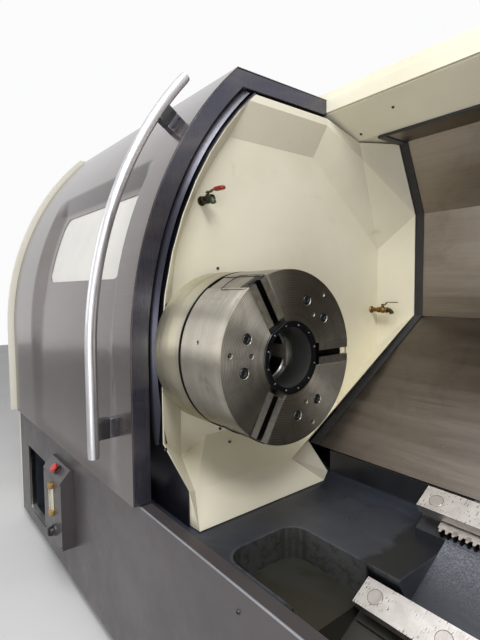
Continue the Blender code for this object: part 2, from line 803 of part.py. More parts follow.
def make_drive():
    """Pulleys, belt and motor behind the headstock."""
    turned("spindle_pulley", groove_profile(PULLEY_R, PULLEY_X0, PULLEY_X1, PULLEY_GROOVES)
           + [(REAR_JOURNAL_R + GAP, PULLEY_X0), (REAR_JOURNAL_R + GAP, PULLEY_X1)],
           STEEL, parent=chuck_axis, steps=SPINDLE_STEPS, closed=True)
    axis = empty("motor_axis", (0.0, MOTOR_Y, MOTOR_Z))
    shaft_end = PULLEY_X1 + MOTOR_GAP - GAP
    turned("motor_pulley", [(0.0, shaft_end), (MOTOR_SHAFT_R, shaft_end), (MOTOR_SHAFT_R, PULLEY_X1)]
           + groove_profile(MOTOR_PULLEY_R, PULLEY_X0, PULLEY_X1, PULLEY_GROOVES) + [(0.0, PULLEY_X0)],
           STEEL, parent=axis, steps=24)
    centre = Vector((MOTOR_Y, MOTOR_Z))
    away = centre.length
    lean = math.atan2(MOTOR_Z, MOTOR_Y)

    def loop(grow):
        big = PULLEY_R + RUNNING + grow
        small = MOTOR_PULLEY_R + RUNNING + grow
        spread = math.acos((big - small) / away)
        a0, a1 = lean + spread, lean + 2 * math.pi - spread
        points = [(big * math.cos(a0 + (a1 - a0) * i / 20), big * math.sin(a0 + (a1 - a0) * i / 20))
                  for i in range(21)]
        b0, b1 = lean - spread, lean + spread
        points += [(centre.x + small * math.cos(b0 + (b1 - b0) * i / 14),
                    centre.y + small * math.sin(b0 + (b1 - b0) * i / 14)) for i in range(15)]
        return points

    section("drive_belt", [loop(BELT_T + GAP), loop(GAP)], PULLEY_X0 + 0.005, PULLEY_X1 - 0.005, BLACK,
            smooth=True)
    x0 = PULLEY_X1 + MOTOR_GAP
    motor = turned("main_motor", [(0.0, x0 + MOTOR_LEN), (MOTOR_R * 0.6, x0 + MOTOR_LEN),
                                  (MOTOR_R, x0 + MOTOR_LEN - 0.06), (MOTOR_R, x0 + 0.02),
                                  (MOTOR_R * 0.8, x0), (0.0, x0)],
                   MOTOR, place=(0.0, MOTOR_Y, MOTOR_Z), steps=32)
    foot = box("motor_foot", (x0 + 0.06, MOTOR_Y - 0.17, BED_TOP + GAP),
               (x0 + MOTOR_LEN - 0.08, MOTOR_Y + 0.17, MOTOR_Z - MOTOR_R * 0.6), None)
    join(motor, foot)


def make_chuck_cylinder():
    """The rotary clamping cylinder on the spindle's rear end."""
    x1 = PULLEY_X0 - GAP
    x0 = CYLINDER_X0
    profile = [(CYLINDER_R, x1), (CYLINDER_R, x0 + 0.08), (CYLINDER_NECK_R, x0 + 0.06), (CYLINDER_NECK_R, x0),
               (CYLINDER_BORE_R, x0), (CYLINDER_BORE_R, SPINDLE_REAR - GAP),
               (REAR_JOURNAL_R + GAP, SPINDLE_REAR - GAP), (REAR_JOURNAL_R + GAP, x1)]
    return turned("clamping_cylinder", profile, STEEL, parent=chuck_axis, steps=SPINDLE_STEPS, closed=True)


# Chuck

def radial_box(name, r0, r1, width, x0, x1, degrees):
    """A bar lying along a radius of the chuck at the given angle, 0 to the rear."""
    obj = box(name, (x0, r0, -width / 2), (x1, r1, width / 2), None, parent=chuck_axis)
    obj.rotation_euler = (math.radians(degrees), 0.0, 0.0)
    return obj



def make_chuck():
    back_x1 = GROOVE_X - GROOVE_W / 2
    body_x0 = GROOVE_X + GROOVE_W / 2
    plate = [(CHUCK_R - GROOVE_DEPTH, body_x0 - GAP), (CHUCK_R - GROOVE_DEPTH, back_x1), (CHUCK_R, back_x1),
             (CHUCK_R, CHUCK_BACK + GAP + 0.004), (CHUCK_R - 0.004, CHUCK_BACK + GAP),
             (SPINDLE_BORE_R, CHUCK_BACK + GAP), (SPINDLE_BORE_R, body_x0 - GAP)]
    turned("chuck_backplate", plate, STEEL, parent=chuck_axis, steps=64, closed=True)
    bore = RING_R + GAP
    profile = [(CHUCK_R - 0.003, 0.0), (CHUCK_R, -0.003), (CHUCK_R, body_x0), (SPINDLE_BORE_R, body_x0),
               (SPINDLE_BORE_R, -RING_DEPTH - GAP), (bore, -RING_DEPTH - GAP), (bore, 0.0)]
    body = turned("chuck_body", profile, STEEL, parent=chuck_axis, steps=64, closed=True)
    for i, angle in enumerate(JAW_ANGLES):
        slot = radial_box("jaw_slot_%d" % i, 0.060, CHUCK_R + 0.02, JAW_W + 2 * GAP, -JAW_DEPTH - GAP, 0.05,
                          angle)
        foot = radial_box("jaw_foot_slot_%d" % i, 0.060, CHUCK_R + 0.02, JAW_FOOT_W + 2 * GAP,
                          -JAW_DEPTH - GAP, -JAW_DEPTH + JAW_FOOT_H + GAP, angle)
        join(slot, foot)
        cut(body, slot)
    for i, angle in enumerate(JAW_ANGLES):
        for j, (turn, radius) in enumerate(zip(BOLT_TURNS, BOLT_RADII)):
            a = math.radians(angle + turn)
            centre = (0.0, radius * math.cos(a), radius * math.sin(a))
            sink = [(0.0, 0.02), (BOLT_R, 0.02), (BOLT_R, -BOLT_DEPTH), (0.0, -BOLT_DEPTH)]
            hole = turned("bolt_sink_%d_%d" % (i, j), sink, None, parent=chuck_axis, place=centre, steps=12)
            cut(body, hole)
    return body


def make_jaw(index, angle):
    """A master jaw: a guided foot, a body flush with the face and a tee slot for the top jaw."""
    carrier = empty("jaw_line_%d" % index, (0.0, 0.0, 0.0), chuck_axis)
    carrier.rotation_euler = (math.radians(angle), 0.0, 0.0)
    half = JAW_W / 2
    foot = JAW_FOOT_W / 2
    low = -JAW_DEPTH
    shelf = -JAW_DEPTH + JAW_FOOT_H
    neck = TEE_NECK_W / 2
    head = TEE_HEAD_W / 2
    n0 = -TEE_NECK_H
    h0 = n0 - TEE_HEAD_H
    side = [(half, 0.0), (half, shelf), (foot, shelf), (foot, low)]
    tee = [(-neck, 0.0), (-neck, n0), (-head, n0), (-head, h0)]
    tee += [(-w, x) for w, x in tee[::-1]]
    outline = [(w, x) for w, x in side] + [(-w, x) for w, x in side[::-1]] + tee
    mesh = outline_mesh("master_jaw_%d" % (index + 1), [outline], JAW_OUT_R - JAW_IN_R)
    # the outline's (width, x) lies in z, x and is carried along the radius, y
    place = Matrix(((0, 1, 0), (0, 0, 1), (1, 0, 0))).to_4x4()
    mesh.transform(Matrix.Translation((0.0, (JAW_IN_R + JAW_OUT_R) / 2, 0.0)) @ place)
    return add("master_jaw_%d" % (index + 1), mesh, GROUND, carrier)


def make_centre_ring():
    """The bush in the chuck's bore, with three flats facing the jaws."""
    profile = [(RING_R, RING_PROUD), (RING_R, -RING_DEPTH), (SPINDLE_BORE_R, -RING_DEPTH),
               (SPINDLE_BORE_R, RING_PROUD)]
    bush = turned("centre_ring", profile, BLACKED, parent=chuck_axis, steps=64, closed=True)
    for i, angle in enumerate(JAW_ANGLES):
        flat = radial_box("ring_flat_%d" % i, RING_FLAT, RING_FLAT + 0.05, 0.2, -JAW_DEPTH, 0.05, angle)
        cut(bush, flat)
    return bush


# Enclosure round the chuck

def on_arc(radius, height):
    """The y at which a curve of this radius stands at the given height."""
    if height <= ARC_Z:
        return ARC_Y - radius
    return ARC_Y - math.sqrt(radius * radius - (height - ARC_Z) ** 2)




def make_bulkhead():
    """The folded cream wall behind the chuck, with its chamfers, apron and side returns."""
    rim_r = HOOD_R - SHEET - 0.0045
    wall_r = rim_r - 0.130
    top_r = rim_r - 0.060
    rim_x = RIM_X1 - 0.001
    heights = RIM_HEIGHTS[1:8]
    upper = RIM_HEIGHTS[8:10]
    edge = 0.003
    g = offset_path(GUARD_PROFILE, -edge)
    v = {
        "a1": (WALL_X, on_arc(wall_r, -0.468), -0.468),
        "b1": (WALL_X, -0.010, -0.401),
        "w2": (WALL_X, 0.883, -0.401),
        "w3": (WALL_X, 1.240, -0.107),
        "w4": (WALL_X, 1.236, 0.468),
        "w5": (WALL_X, 0.670, 0.905),
        "w6": (WALL_X, on_arc(top_r, 0.905), 0.905),
        "r0": (rim_x, on_arc(rim_r, -0.360), -0.360),
        "r6": (rim_x, on_arc(rim_r, 1.045), 1.045),
        "r7": (rim_x, on_arc(rim_r, 1.078), 1.078),
        "l1": (rim_x, 0.680, 1.045),
        "l2": (rim_x, 0.680, 1.078),
        "t": (-0.400, 0.923, 0.911),
        "g0": (GUARD_X0, g[0][0], g[0][1]),
        "g1": (GUARD_X0, g[1][0], g[1][1]),
        "g1b": (GUARD_X0, g[1][0], 0.466),
        "g2": (GUARD_X0, g[2][0], g[2][1]),
        "g3": (GUARD_LOW_X0, LEDGE_Y0 - 0.008, -0.500),
        "u1": (-0.400, 0.890, 0.994),
        "g4": (GUARD_X0 + 0.021, LEDGE_Y0 - 0.008, BED_TOP + 0.004),
        "fr": (-0.300, 0.300, -0.518),
        "fl": (-0.300, -0.210, -0.519),
        "f0": (-0.190, -0.262, BED_TOP + 0.004),
        "f1": (-0.205, 0.405, BED_TOP + 0.004),
        "s0": (-0.250, on_arc(rim_r, -0.5), BED_TOP + 0.004),
        "s1": (-0.250, on_arc(rim_r, -0.5), -0.490),
    }
    for i, z in enumerate(heights):
        fade = min(1.0, max(0.0, (z + 0.1) / 0.4))
        v["wa%d" % i] = (WALL_X, on_arc(wall_r + (top_r - wall_r) * fade, z), z)
    for i, z in enumerate(heights + upper):
        v["ra%d" % i] = (rim_x, on_arc(rim_r, z), z)
    names = list(v)
    wall_arc = ["wa%d" % i for i in range(len(heights))]
    rim_arc = ["ra%d" % i for i in range(len(heights) + len(upper))]
    faces = [["a1", "b1", "w2", "w3", "w4", "w5", "w6"] + wall_arc[::-1]]
    left = ["a1"] + wall_arc + ["w6"] * 3
    rims = ["r0"] + rim_arc + ["r6"]
    for i in range(len(left) - 1):
        corners = [rims[i], left[i], left[i + 1], rims[i + 1]]
        faces.append(corners if left[i] != left[i + 1] else corners[:2] + corners[3:])
    faces += [
        ["w6", "w5", "l1", "r6"],
        ["r6", "l1", "l2", "r7"],
        ["w5", "w4", "t", "l1"],
        ["w4", "g1b", "g1", "g0", "t"],
        ["l1", "t", "u1", "l2"],
        ["t", "g0", "u1"],
        ["w3", "g2", "g1b", "w4"],
        ["w3", "w2", "fr", "g3", "g2"],
        ["fr", "f1", "g4", "g3"],
        ["b1", "fl", "fr", "w2"],
        ["a1", "fl", "b1"],
        ["fl", "f0", "f1", "fr"],
        ["r0", "s1", "fl", "a1"],
        ["s1", "s0", "f0", "fl"],
    ]
    index = {name: i for i, name in enumerate(names)}
    sides = [[index[n] for n in face] for face in faces]
    wall = sheet("bulkhead", [v[n] for n in names], sides, PLATE, CREAM)
    room = NOSE_R + 0.006
    hole = turned("nose_hole", [(0.0, 0.3), (room, 0.3), (room, -0.3), (0.0, -0.3)], None,
                  place=(WALL_X - 0.1, 0.0, 0.0), steps=48)
    return cut(wall, hole)


def make_rim():
    """The dark band of the fixed hood in front of the bulkhead, with its lower corner plate."""
    middle_r = HOOD_R - SHEET / 2
    x0 = RIM_X0 + GAP
    vertices = []
    for z in RIM_HEIGHTS:
        y = on_arc(middle_r, z)
        vertices += [(x0, y, z), (RIM_X1, y, z)]
    faces = [(2 * i, 2 * i + 1, 2 * i + 3, 2 * i + 2) for i in range(len(RIM_HEIGHTS) - 1)]
    start = len(vertices)
    y = on_arc(middle_r, -0.5)
    low = BED_TOP + 2 * GAP
    vertices += [(-0.246, y, -0.484), (-0.246, y, low), (x0, y, low)]
    faces.append((0, start + 2, start + 1, start, 1))
    return sheet("hood_rim", vertices, faces, SHEET, DARK, offset=0.0)


def make_covers():
    low = BED_TOP + GAP
    shell = shell_section(HOOD_R, HOOD_TOP, BEAM_FRONT - GAP, low, SHEET)
    section("fixed_hood", [shell], HOOD_X0, RIM_X0, CREAM, smooth=True)
    beam = [(BEAM_FRONT, BEAM_TOP), (BEAM_FRONT, BEAM_SILL), (BEAM_NOSE, BEAM_UNDER), (BEAM_REAR, BEAM_UNDER),
            (BEAM_REAR, BEAM_TOP)]
    section("roof_beam", [beam[::-1]], HOOD_X0, APRON_X1, CREAM)
    section("door_rail", [[(DOOR_REAR + SLIDING, RAIL_Z0), (BEAM_FRONT - GAP, RAIL_Z0),
                           (BEAM_FRONT - GAP, DOOR_TOP - SHEET - GAP),
                           (DOOR_REAR + SLIDING, DOOR_TOP - SHEET - GAP)]],
            DOOR_X0, RIGHT_X0 - 0.001, STEEL)
    back = BEAM_REAR + GAP
    cover = [(back, BEAM_TOP), (COVER_REAR, BEAM_TOP), (COVER_REAR, APRON_BOTTOM),
             (COVER_REAR - PLATE, APRON_BOTTOM), (COVER_REAR - PLATE, BEAM_TOP - PLATE),
             (back, BEAM_TOP - PLATE)]
    rear = section("rear_cover", [cover[::-1]], HOOD_X0, APRON_X1, CREAM)
    hole = box("cabinet_cut", (CABINET_X0, COVER_REAR - 0.05, CABINET_Z0),
               (CABINET_X1, COVER_REAR + 0.05, CABINET_Z1), None)
    cut(rear, hole)
    inset = SLIDING + GAP
    door = box("cabinet_door", (CABINET_X0 + inset, COVER_REAR - CABINET_T, CABINET_Z0 + inset),
               (CABINET_X1 - inset, COVER_REAR - GAP, CABINET_Z1 - inset), CREAM, parent=cabinet_hinge,
               origin=CABINET_HINGE)
    bevelled(door, 0.001)
    for name, x0, x1 in (("left_end_cover", HOOD_X0 - END_T, HOOD_X0 - GAP),
                         ("right_end_cover", APRON_X1 + GAP, APRON_X1 + END_T)):
        front = cover_outline(COVER_R, DOOR_TOP + COVER_LAP, BEAM_FRONT - 0.02, SILL_Z)
        outline = front + [(BEAM_FRONT - 0.02, BEAM_TOP + 0.004), (COVER_REAR + 0.004, BEAM_TOP + 0.004),
                           (COVER_REAR + 0.004, APRON_BOTTOM), (APRON_Y, APRON_BOTTOM), (APRON_Y, SILL_Z)]
        section(name, [outline[::-1]], x0, x1, CREAM, smooth=True)
    shell = shell_section(DOOR_R, DOOR_TOP, BEAM_FRONT - GAP, SILL_Z + GAP, PLATE)
    section("right_cover", [shell], RIGHT_X0, APRON_X1, DARK, smooth=True)


def make_guards():
    """Three stainless panels behind the working area, bent to one profile."""
    front = offset_path(GUARD_PROFILE, GUARD_BACK)
    back = offset_path(GUARD_PROFILE, GUARD_BACK + SHEET)
    names = ("upper_guard", "rear_guard")
    for i, name in enumerate(names[:2]):
        a, b = Vector(front[i]), Vector(front[i + 1])
        c, d = Vector(back[i + 1]), Vector(back[i])
        along = (b - a).normalized()
        top = along * (-GUARD_REACH if i == 0 else GAP)
        low = along * GAP
        section(name, [[tuple(a + top), tuple(b - low), tuple(c - low), tuple(d + top)]], GUARD_X0,
                GUARD_X1, STAINLESS)
    top, low = Vector(back[2]), Vector(back[3])
    along = (low - top).normalized()
    top, low = top + along * SHEET, low - along * GAP
    corners = [(GUARD_X0 + GUARD_REACH, *top), (GUARD_LOW_X0 + GUARD_REACH, *low), (GUARD_X1, *low),
               (GUARD_X1, *top)]
    sheet("lower_guard", corners, [(0, 1, 2, 3)], SHEET, STAINLESS, offset=1.0)


def make_gasket():
    """The rubber strip that seals the bulkhead's returns to the guards."""
    path = offset_path(GUARD_PROFILE, GUARD_BACK - GAP - GASKET_T)
    lefts = (GUARD_X0, GUARD_X0, GUARD_X0, GUARD_LOW_X0)
    vertices = []
    for x, (y, z) in zip(lefts, path):
        vertices += [(x, y, z), (x + GASKET_W, y, z)]
    faces = [(2 * i, 2 * i + 2, 2 * i + 3, 2 * i + 1) for i in range(3)]
    return sheet("guard_gasket", vertices, faces, GASKET_T, BLACK)


# Door

def make_door():
    shell = shell_section(DOOR_R, DOOR_TOP, BEAM_FRONT - DOOR_LAP, DOOR_BOTTOM, SHEET)
    skin = section("door_skin", [shell], DOOR_X0, DOOR_X1, DARK, parent=door_axis, smooth=True)
    plan = rounded(WINDOW_X0, WINDOW_Z0, WINDOW_X1, WINDOW_Z1, WINDOW_CORNER)
    opening = elevation("window_cut", [plan], DOOR_FRONT - 0.2, DOOR_FRONT + 0.5, None, parent=door_axis)
    cut(skin, opening)
    inner_r = DOOR_R - SHEET - GAP
    outer = cover_outline(inner_r, DOOR_TOP - SHEET - GAP, DOOR_REAR, DOOR_BOTTOM)
    inner = cover_outline(inner_r - FLANGE_DEPTH, DOOR_TOP - SHEET - FLANGE_DEPTH, DOOR_REAR, DOOR_BOTTOM)
    section("door_flange", [outer + inner[::-1]], DOOR_X1 - FLANGE_LEN, DOOR_X1, DARK, parent=door_axis,
            smooth=True)
    outer = cover_outline(inner_r + 0.001, DOOR_TOP - SHEET + 0.001, DOOR_REAR, DOOR_BOTTOM)
    hem = section("door_hem", [outer + inner[::-1]], DOOR_X0, DOOR_X0 + SHEET, None, parent=door_axis)
    join(skin, hem)
    pane_r = DOOR_R - SHEET - 2 * GAP
    a0, a1 = (180.0 - facet * cover_step() for facet in PANE_FACETS)
    count = PANE_FACETS[1] - PANE_FACETS[0]
    pane = arc(pane_r, a0, a1, count) + arc(pane_r - PANE_T, a1, a0, count)
    section("window_pane", [pane], WINDOW_X0 - PANE_LAP, WINDOW_X1 + PANE_LAP, GLASS, parent=door_axis,
            smooth=True)


def handle_path():
    """The grab tube's centre line, concentric with the door's curve."""
    radius = DOOR_R + HANDLE_OFF
    straight = [(ARC_Y - radius, HANDLE_LOW), (ARC_Y - radius, HANDLE_BEND)]
    curve = arc(radius, 180.0, 180.0 - math.degrees(math.asin((HANDLE_TOP - ARC_Z) / radius)), 16)
    return [(HANDLE_X, y, z) for y, z in straight + curve]


def make_handle():
    pipe("door_handle", handle_path(), HANDLE_R, SATIN, parent=door_axis, resolution=4)
    high = 180.0 - BRACKET_HIGH_FACET * cover_step()
    for name, angle in (("handle_bracket_lower", BRACKET_LOW_DEG), ("handle_bracket_upper", high)):
        a = math.radians(angle)
        if angle > 180.0:
            seat = Vector((ARC_Y - DOOR_R, ARC_Z + DOOR_R * math.sin(a)))
            out = Vector((-1.0, 0.0))
            facet = 0.0
        else:
            seat = Vector((ARC_Y + DOOR_R * math.cos(a), ARC_Z + DOOR_R * math.sin(a)))
            out = Vector((math.cos(a), math.sin(a)))
            facet = DOOR_R * (1.0 - math.cos(math.radians(cover_step() / 2)))
        side = Vector((-out.y, out.x))
        inner = seat + out * (GAP - facet)
        half = BRACKET_W / 2
        droop = half ** 2 / (2.0 * (DOOR_R + HANDLE_OFF))
        outer = seat + out * (HANDLE_OFF - HANDLE_R - 3 * GAP - droop)
        outline = [tuple(inner + side * half), tuple(inner - side * half), tuple(outer - side * half),
                   tuple(outer + side * half)]
        block = section(name, [outline], HANDLE_X - BRACKET_LEN / 2, HANDLE_X + BRACKET_LEN / 2, DARK,
                        parent=door_axis)
        bevelled(block, 0.003)


# Carriage

def slope_box(name, s0, s1, t0, t1, x0, x1, finish, parent=datum):
    outline = [slope(s0, t0), slope(s1, t0), slope(s1, t1), slope(s0, t1)]
    return section(name, [outline], x0, x1, finish, parent=parent)


def slope_cylinder(name, radius, s, t, x0, x1, finish, parent=datum, steps=32):
    y, z = slope(s, t)
    return turned(name, [(0.0, x1), (radius, x1), (radius, x0), (0.0, x0)], finish, parent=parent,
                  place=(0.0, y, z), steps=steps)


def make_carriage():
    saddle = slope_box("saddle", TAIL_S[0], SADDLE_S1, SLIDING, SADDLE_T, SADDLE_X0, SADDLE_X1, SLATE,
                       saddle_axis)
    nut = slope_box("screw_nut", SCREW_S - NUT_HALF, SCREW_S + NUT_HALF, NUT_LOW, NUT_TOP,
                    SADDLE_X0 + NUT_INSET, SADDLE_X1 - NUT_INSET, None, saddle_axis)
    join(saddle, nut)
    bore = slope_cylinder("nut_bore", SCREW_R + RUNNING, SCREW_S, SCREW_T, SADDLE_X0 - NUT_HALF,
                          SADDLE_X1 + NUT_HALF, None, saddle_axis, 24)
    cut(saddle, bore)
    slide = slope_box("cross_slide", SLIDE_S0, SLIDE_S1, SADDLE_T + SLIDING, SLIDE_T,
                      SADDLE_X0 + SLIDE_INSET, SADDLE_X1 - 3 * SLIDE_INSET, STEEL, slide_axis)
    bevelled(slide, 0.006)
    hub = TURRET_X0 + TURRET_HUB
    housing = slope_box("turret_housing", TURRET_S - HOUSING_HALF, TURRET_S + HOUSING_HALF, SLIDE_T + GAP,
                        SPINDLE_T + HOUSING_OVER, hub, SADDLE_X1 - 5 * SLIDE_INSET, CREAM, slide_axis)
    bevelled(housing, 0.030, 2)
    y, z = slope(TURRET_S, SPINDLE_T)
    disc_axis = empty("turret_axis", (0.0, y, z), slide_axis)
    cap = TURRET_X0 + TURRET_CAP
    back = TURRET_X0 + TURRET_LEN
    profile = [(0.0, TURRET_X0), (TURRET_CAP_R, TURRET_X0), (TURRET_CAP_R, cap), (TURRET_R, cap),
               (TURRET_R, back), (TURRET_HUB_R, back), (TURRET_HUB_R, hub - SLIDING), (0.0, hub - SLIDING)]
    turned("turret_disc", profile[::-1], STEEL, parent=disc_axis, steps=12)
    servo = slope_box("cross_servo", SADDLE_S1 + GAP, SADDLE_S1 + SERVO_LEN, SERVO_T0, SERVO_T1,
                      SADDLE_X0 + SERVO_INSET, SADDLE_X1 - SERVO_INSET, MOTOR, saddle_axis)
    bevelled(servo, 0.012)


def make_feed():
    slope_cylinder("feed_screw", SCREW_R, SCREW_S, SCREW_T, SCREW_X0, FEED_SERVO_X0 - GAP, GROUND, steps=24)
    seat_t = -SEAT_DROP - SEAT_LOW
    servo = slope_box("feed_servo", SCREW_S - FEED_SERVO_HALF, SCREW_S + FEED_SERVO_HALF, seat_t + GAP,
                      FEED_SERVO_TOP, FEED_SERVO_X0, FEED_SERVO_X0 + FEED_SERVO_LEN, MOTOR)
    bevelled(servo, 0.010)


def make_tailstock():
    heights = (SLIDING, SLIDING, TAIL_FOOT, SPINDLE_T + TAIL_SHOULDER, SPINDLE_T + TAIL_CROWN,
               SPINDLE_T + TAIL_CROWN, SPINDLE_T + TAIL_SHOULDER, TAIL_WAIST, TAIL_FOOT)
    outline = [slope(s, t) for s, t in zip(TAIL_S, heights)]
    body = section("tailstock", [outline], TAIL_X0, TAIL_X1, SLATE, parent=tail_axis)
    front, past = TAIL_X0 - 0.1, TAIL_X1 + 0.1
    bore_r = QUILL_R + RUNNING
    bore = turned("quill_bore", [(0.0, past), (bore_r, past), (bore_r, front), (0.0, front)], None,
                  parent=tail_axis)
    cut(body, bore)
    nose = TAIL_X0 - QUILL_REACH
    back = nose + QUILL_LEN
    turned("quill", [(0.0, back), (QUILL_R, back), (QUILL_R, nose), (0.0, nose)], GROUND, parent=quill_axis,
           steps=32)
    tip = nose - GAP
    turned("live_centre", [(0.0, tip), (CENTRE_R, tip), (CENTRE_R, tip - CENTRE_BODY),
                           (CENTRE_CONE_R, tip - CENTRE_BODY), (0.0, tip - CENTRE_LEN)],
           GROUND, parent=quill_axis, steps=24)


# Valves

def make_valve(name, at, length, body_finish, grip_finish, lever_turn):
    """A ball valve on the wall: a stub and body along x, a stem and a quarter-turn lever."""
    y, z = at
    x0 = WALL_X + GAP
    end = x0 + length
    mid = x0 + length * 0.55
    ball0, ball1 = mid - VALVE_R, mid + VALVE_R
    neck0, neck1 = mid - VALVE_HALF, mid + VALVE_HALF
    profile = [(0.0, end), (VALVE_STUB_R, end), (VALVE_STUB_R, neck1), (VALVE_R, ball1), (VALVE_R, ball0),
               (VALVE_STUB_R, neck0), (VALVE_STUB_R, x0), (0.0, x0)]
    body = turned(name, profile, body_finish, place=(0.0, y, z), steps=16)
    stem = turned(name + "_stem", [(0.0, STEM_TOP), (STEM_R, STEM_TOP), (STEM_R, 0.0), (0.0, 0.0)], None,
                  place=(mid, y, z), axis='Z', steps=12)
    join(body, stem)
    pivot = empty(name + "_pivot", (mid, y, z + STEM_TOP + GAP))
    pivot.rotation_euler = (0.0, 0.0, math.radians(lever_turn))
    half = LEVER_W / 2
    lever = box(name + "_lever", (-half, -half, 0.0), (LEVER_LEN, half, LEVER_T), grip_finish, parent=pivot)
    grip = box(name + "_grip", (GRIP_START, -GRIP_W / 2, -GRIP_REACH),
               (LEVER_LEN + GRIP_REACH, GRIP_W / 2, 2 * LEVER_T), None, parent=pivot)
    join(lever, grip)
    return body


# Control panel

def make_control_panel():
    """The operator's panel on a forked bracket; it swings about the bracket's upright pin."""
    pin_x = PANEL_X0 - PIN_OFF
    face = ARC_Y - DOOR_R - GAP
    fork = box("panel_bracket", (pin_x - FORK_ARM, PANEL_Y + BARREL_ROOM, FORK_Z0),
               (pin_x + EAR_R, face, FORK_Z1), DARK)
    for i, z in enumerate((FORK_Z0, FORK_Z1 - FORK_EAR)):
        top = z + FORK_EAR
        ear = turned("panel_ear_%d" % i, [(0.0, top), (EAR_R, top), (EAR_R, z), (0.0, z)], None,
                     place=(pin_x, PANEL_Y, 0.0), axis='Z', steps=24)
        cheek = box("panel_cheek_%d" % i, (pin_x - EAR_R + 0.001, PANEL_Y, z + 0.001),
                    (pin_x + EAR_R - 0.001, PANEL_Y + BARREL_ROOM + 0.005, top - 0.001), None)
        join(fork, ear, cheek)
    high, low = FORK_Z1 - FORK_EAR / 4, FORK_Z0 + FORK_EAR / 4
    pin = turned("panel_pin", [(0.0, high), (PIN_R, high), (PIN_R, low), (0.0, low)], None,
                 place=(pin_x, PANEL_Y, 0.0), axis='Z', steps=16)
    join(fork, pin)
    pivot = empty("panel_pivot", (pin_x, PANEL_Y, 0.0))
    half = PANEL_T / 2
    panel = box("control_panel", (PIN_OFF, -half, PANEL_Z0), (PIN_OFF + PANEL_W, half, PANEL_Z1), CREAM,
                parent=pivot)
    low, high = FORK_Z0 + FORK_EAR + SLIDING, FORK_Z1 - FORK_EAR - SLIDING
    barrel = turned("panel_barrel", [(0.0, high), (BARREL_R, high), (BARREL_R, low), (0.0, low)], None,
                    parent=pivot, axis='Z', steps=16)
    bore_r = PIN_R + RUNNING
    above, below = high + 0.01, low - 0.01
    bore = turned("barrel_bore", [(0.0, above), (bore_r, above), (bore_r, below), (0.0, below)], None,
                  parent=pivot, axis='Z', steps=16)
    join(panel, barrel)
    cut(panel, bore)


chuck_axis = empty("chuck_axis", (0.0, 0.0, 0.0))
door_axis = empty("door_line", (0.0, 0.0, 0.0))
saddle_axis = empty("saddle_line", (0.0, 0.0, 0.0))
slide_axis = empty("slide_line", (0.0, 0.0, 0.0), saddle_axis)
cabinet_hinge = empty("cabinet_hinge", CABINET_HINGE)
tail_axis = empty("tail_line", (0.0, 0.0, 0.0))
quill_axis = empty("quill_line", (0.0, 0.0, 0.0), tail_axis)

make_bed()
make_way("front_way", 0.0)
make_way("rear_way", REAR_WAY_S)
make_rack()
make_apron()
service_box = make_service_box()
make_stop_button(service_box)
make_gauge()
make_knob(service_box)
make_headstock()
make_spindle()
make_bearings()
make_drive()
make_chuck_cylinder()
make_chuck()
for number, jaw_angle in enumerate(JAW_ANGLES):
    make_jaw(number, jaw_angle)
make_centre_ring()
make_bulkhead()
make_rim()
make_covers()
make_guards()
make_gasket()
make_door()
make_handle()
make_carriage()
make_feed()
make_tailstock()
make_valve("front_valve", FRONT_VALVE_AT, FRONT_VALVE_LEN, BRASS, RED, 8.0)
make_valve("rear_valve", REAR_VALVE_AT, REAR_VALVE_LEN, BRASS, BRASS, 0.0)
make_control_panel()
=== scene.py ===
"""Looks of a slant-bed turning lathe with a large power chuck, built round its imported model."""
import math

import bmesh
import bpy
import numpy as np
from mathutils import Matrix, Vector
from mathutils.bvhtree import BVHTree


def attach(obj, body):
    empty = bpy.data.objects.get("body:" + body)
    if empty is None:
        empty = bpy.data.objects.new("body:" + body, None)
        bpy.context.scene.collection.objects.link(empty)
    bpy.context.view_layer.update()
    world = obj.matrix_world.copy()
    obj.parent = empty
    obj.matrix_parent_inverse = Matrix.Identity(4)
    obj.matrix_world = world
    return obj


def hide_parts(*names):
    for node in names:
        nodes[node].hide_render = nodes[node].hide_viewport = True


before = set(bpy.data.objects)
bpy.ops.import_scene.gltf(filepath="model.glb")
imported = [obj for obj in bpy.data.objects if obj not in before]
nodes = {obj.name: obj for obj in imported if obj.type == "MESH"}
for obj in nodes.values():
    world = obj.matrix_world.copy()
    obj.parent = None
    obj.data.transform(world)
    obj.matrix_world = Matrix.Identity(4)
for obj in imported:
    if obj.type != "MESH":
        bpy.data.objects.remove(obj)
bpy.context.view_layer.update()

# The chuck's face centre in the model frame; every place below is measured from it
DATUM = np.array((-0.225, -0.532, 1.360))

# Sizes shared with the solids, in metres
CHUCK_R = 0.305
CHUCK_BACK = -0.427
GROOVE_X = -0.2405
GROOVE_W = 0.011
BORE_R = 0.1055
RING_R = 0.1275
RING_FLAT = 0.1215
JAW_ANGLES = (0.0, 120.0, 240.0)
WALL_X = -0.520
ARC_Y = 1.239
ARC_Z = -0.023
DOOR_R = 1.637
DOOR_TOP = 1.167
DOOR_X0 = -2.250
DOOR_X1 = -0.433
DOOR_BOTTOM = -0.578
DOOR_REAR = 0.6715
BEAM_FRONT = 0.690
FLANGE_DEPTH = 0.072
FLANGE_LEN = 0.042
WINDOW = (-1.620, -0.665, 0.290, 0.660)
RECESS_DEPTH = 0.036
HANDLE_X = -0.569
HANDLE_OFF = 0.095
HANDLE_R = 0.0225
SLANT = math.radians(29.1)
WAY_Y = -0.038
WAY_Z = -0.697
BED_TOP = -0.617
RACK_TOP = -0.632
SILL_TOP = -0.583
SILL_FRONT = -0.370
REAR_WAY_S = 0.395
TROUGH_FLOOR = -0.730
TROUGH = (-0.030, 2.620, -0.275, 0.040)
TROUGH_CORNER = 0.070

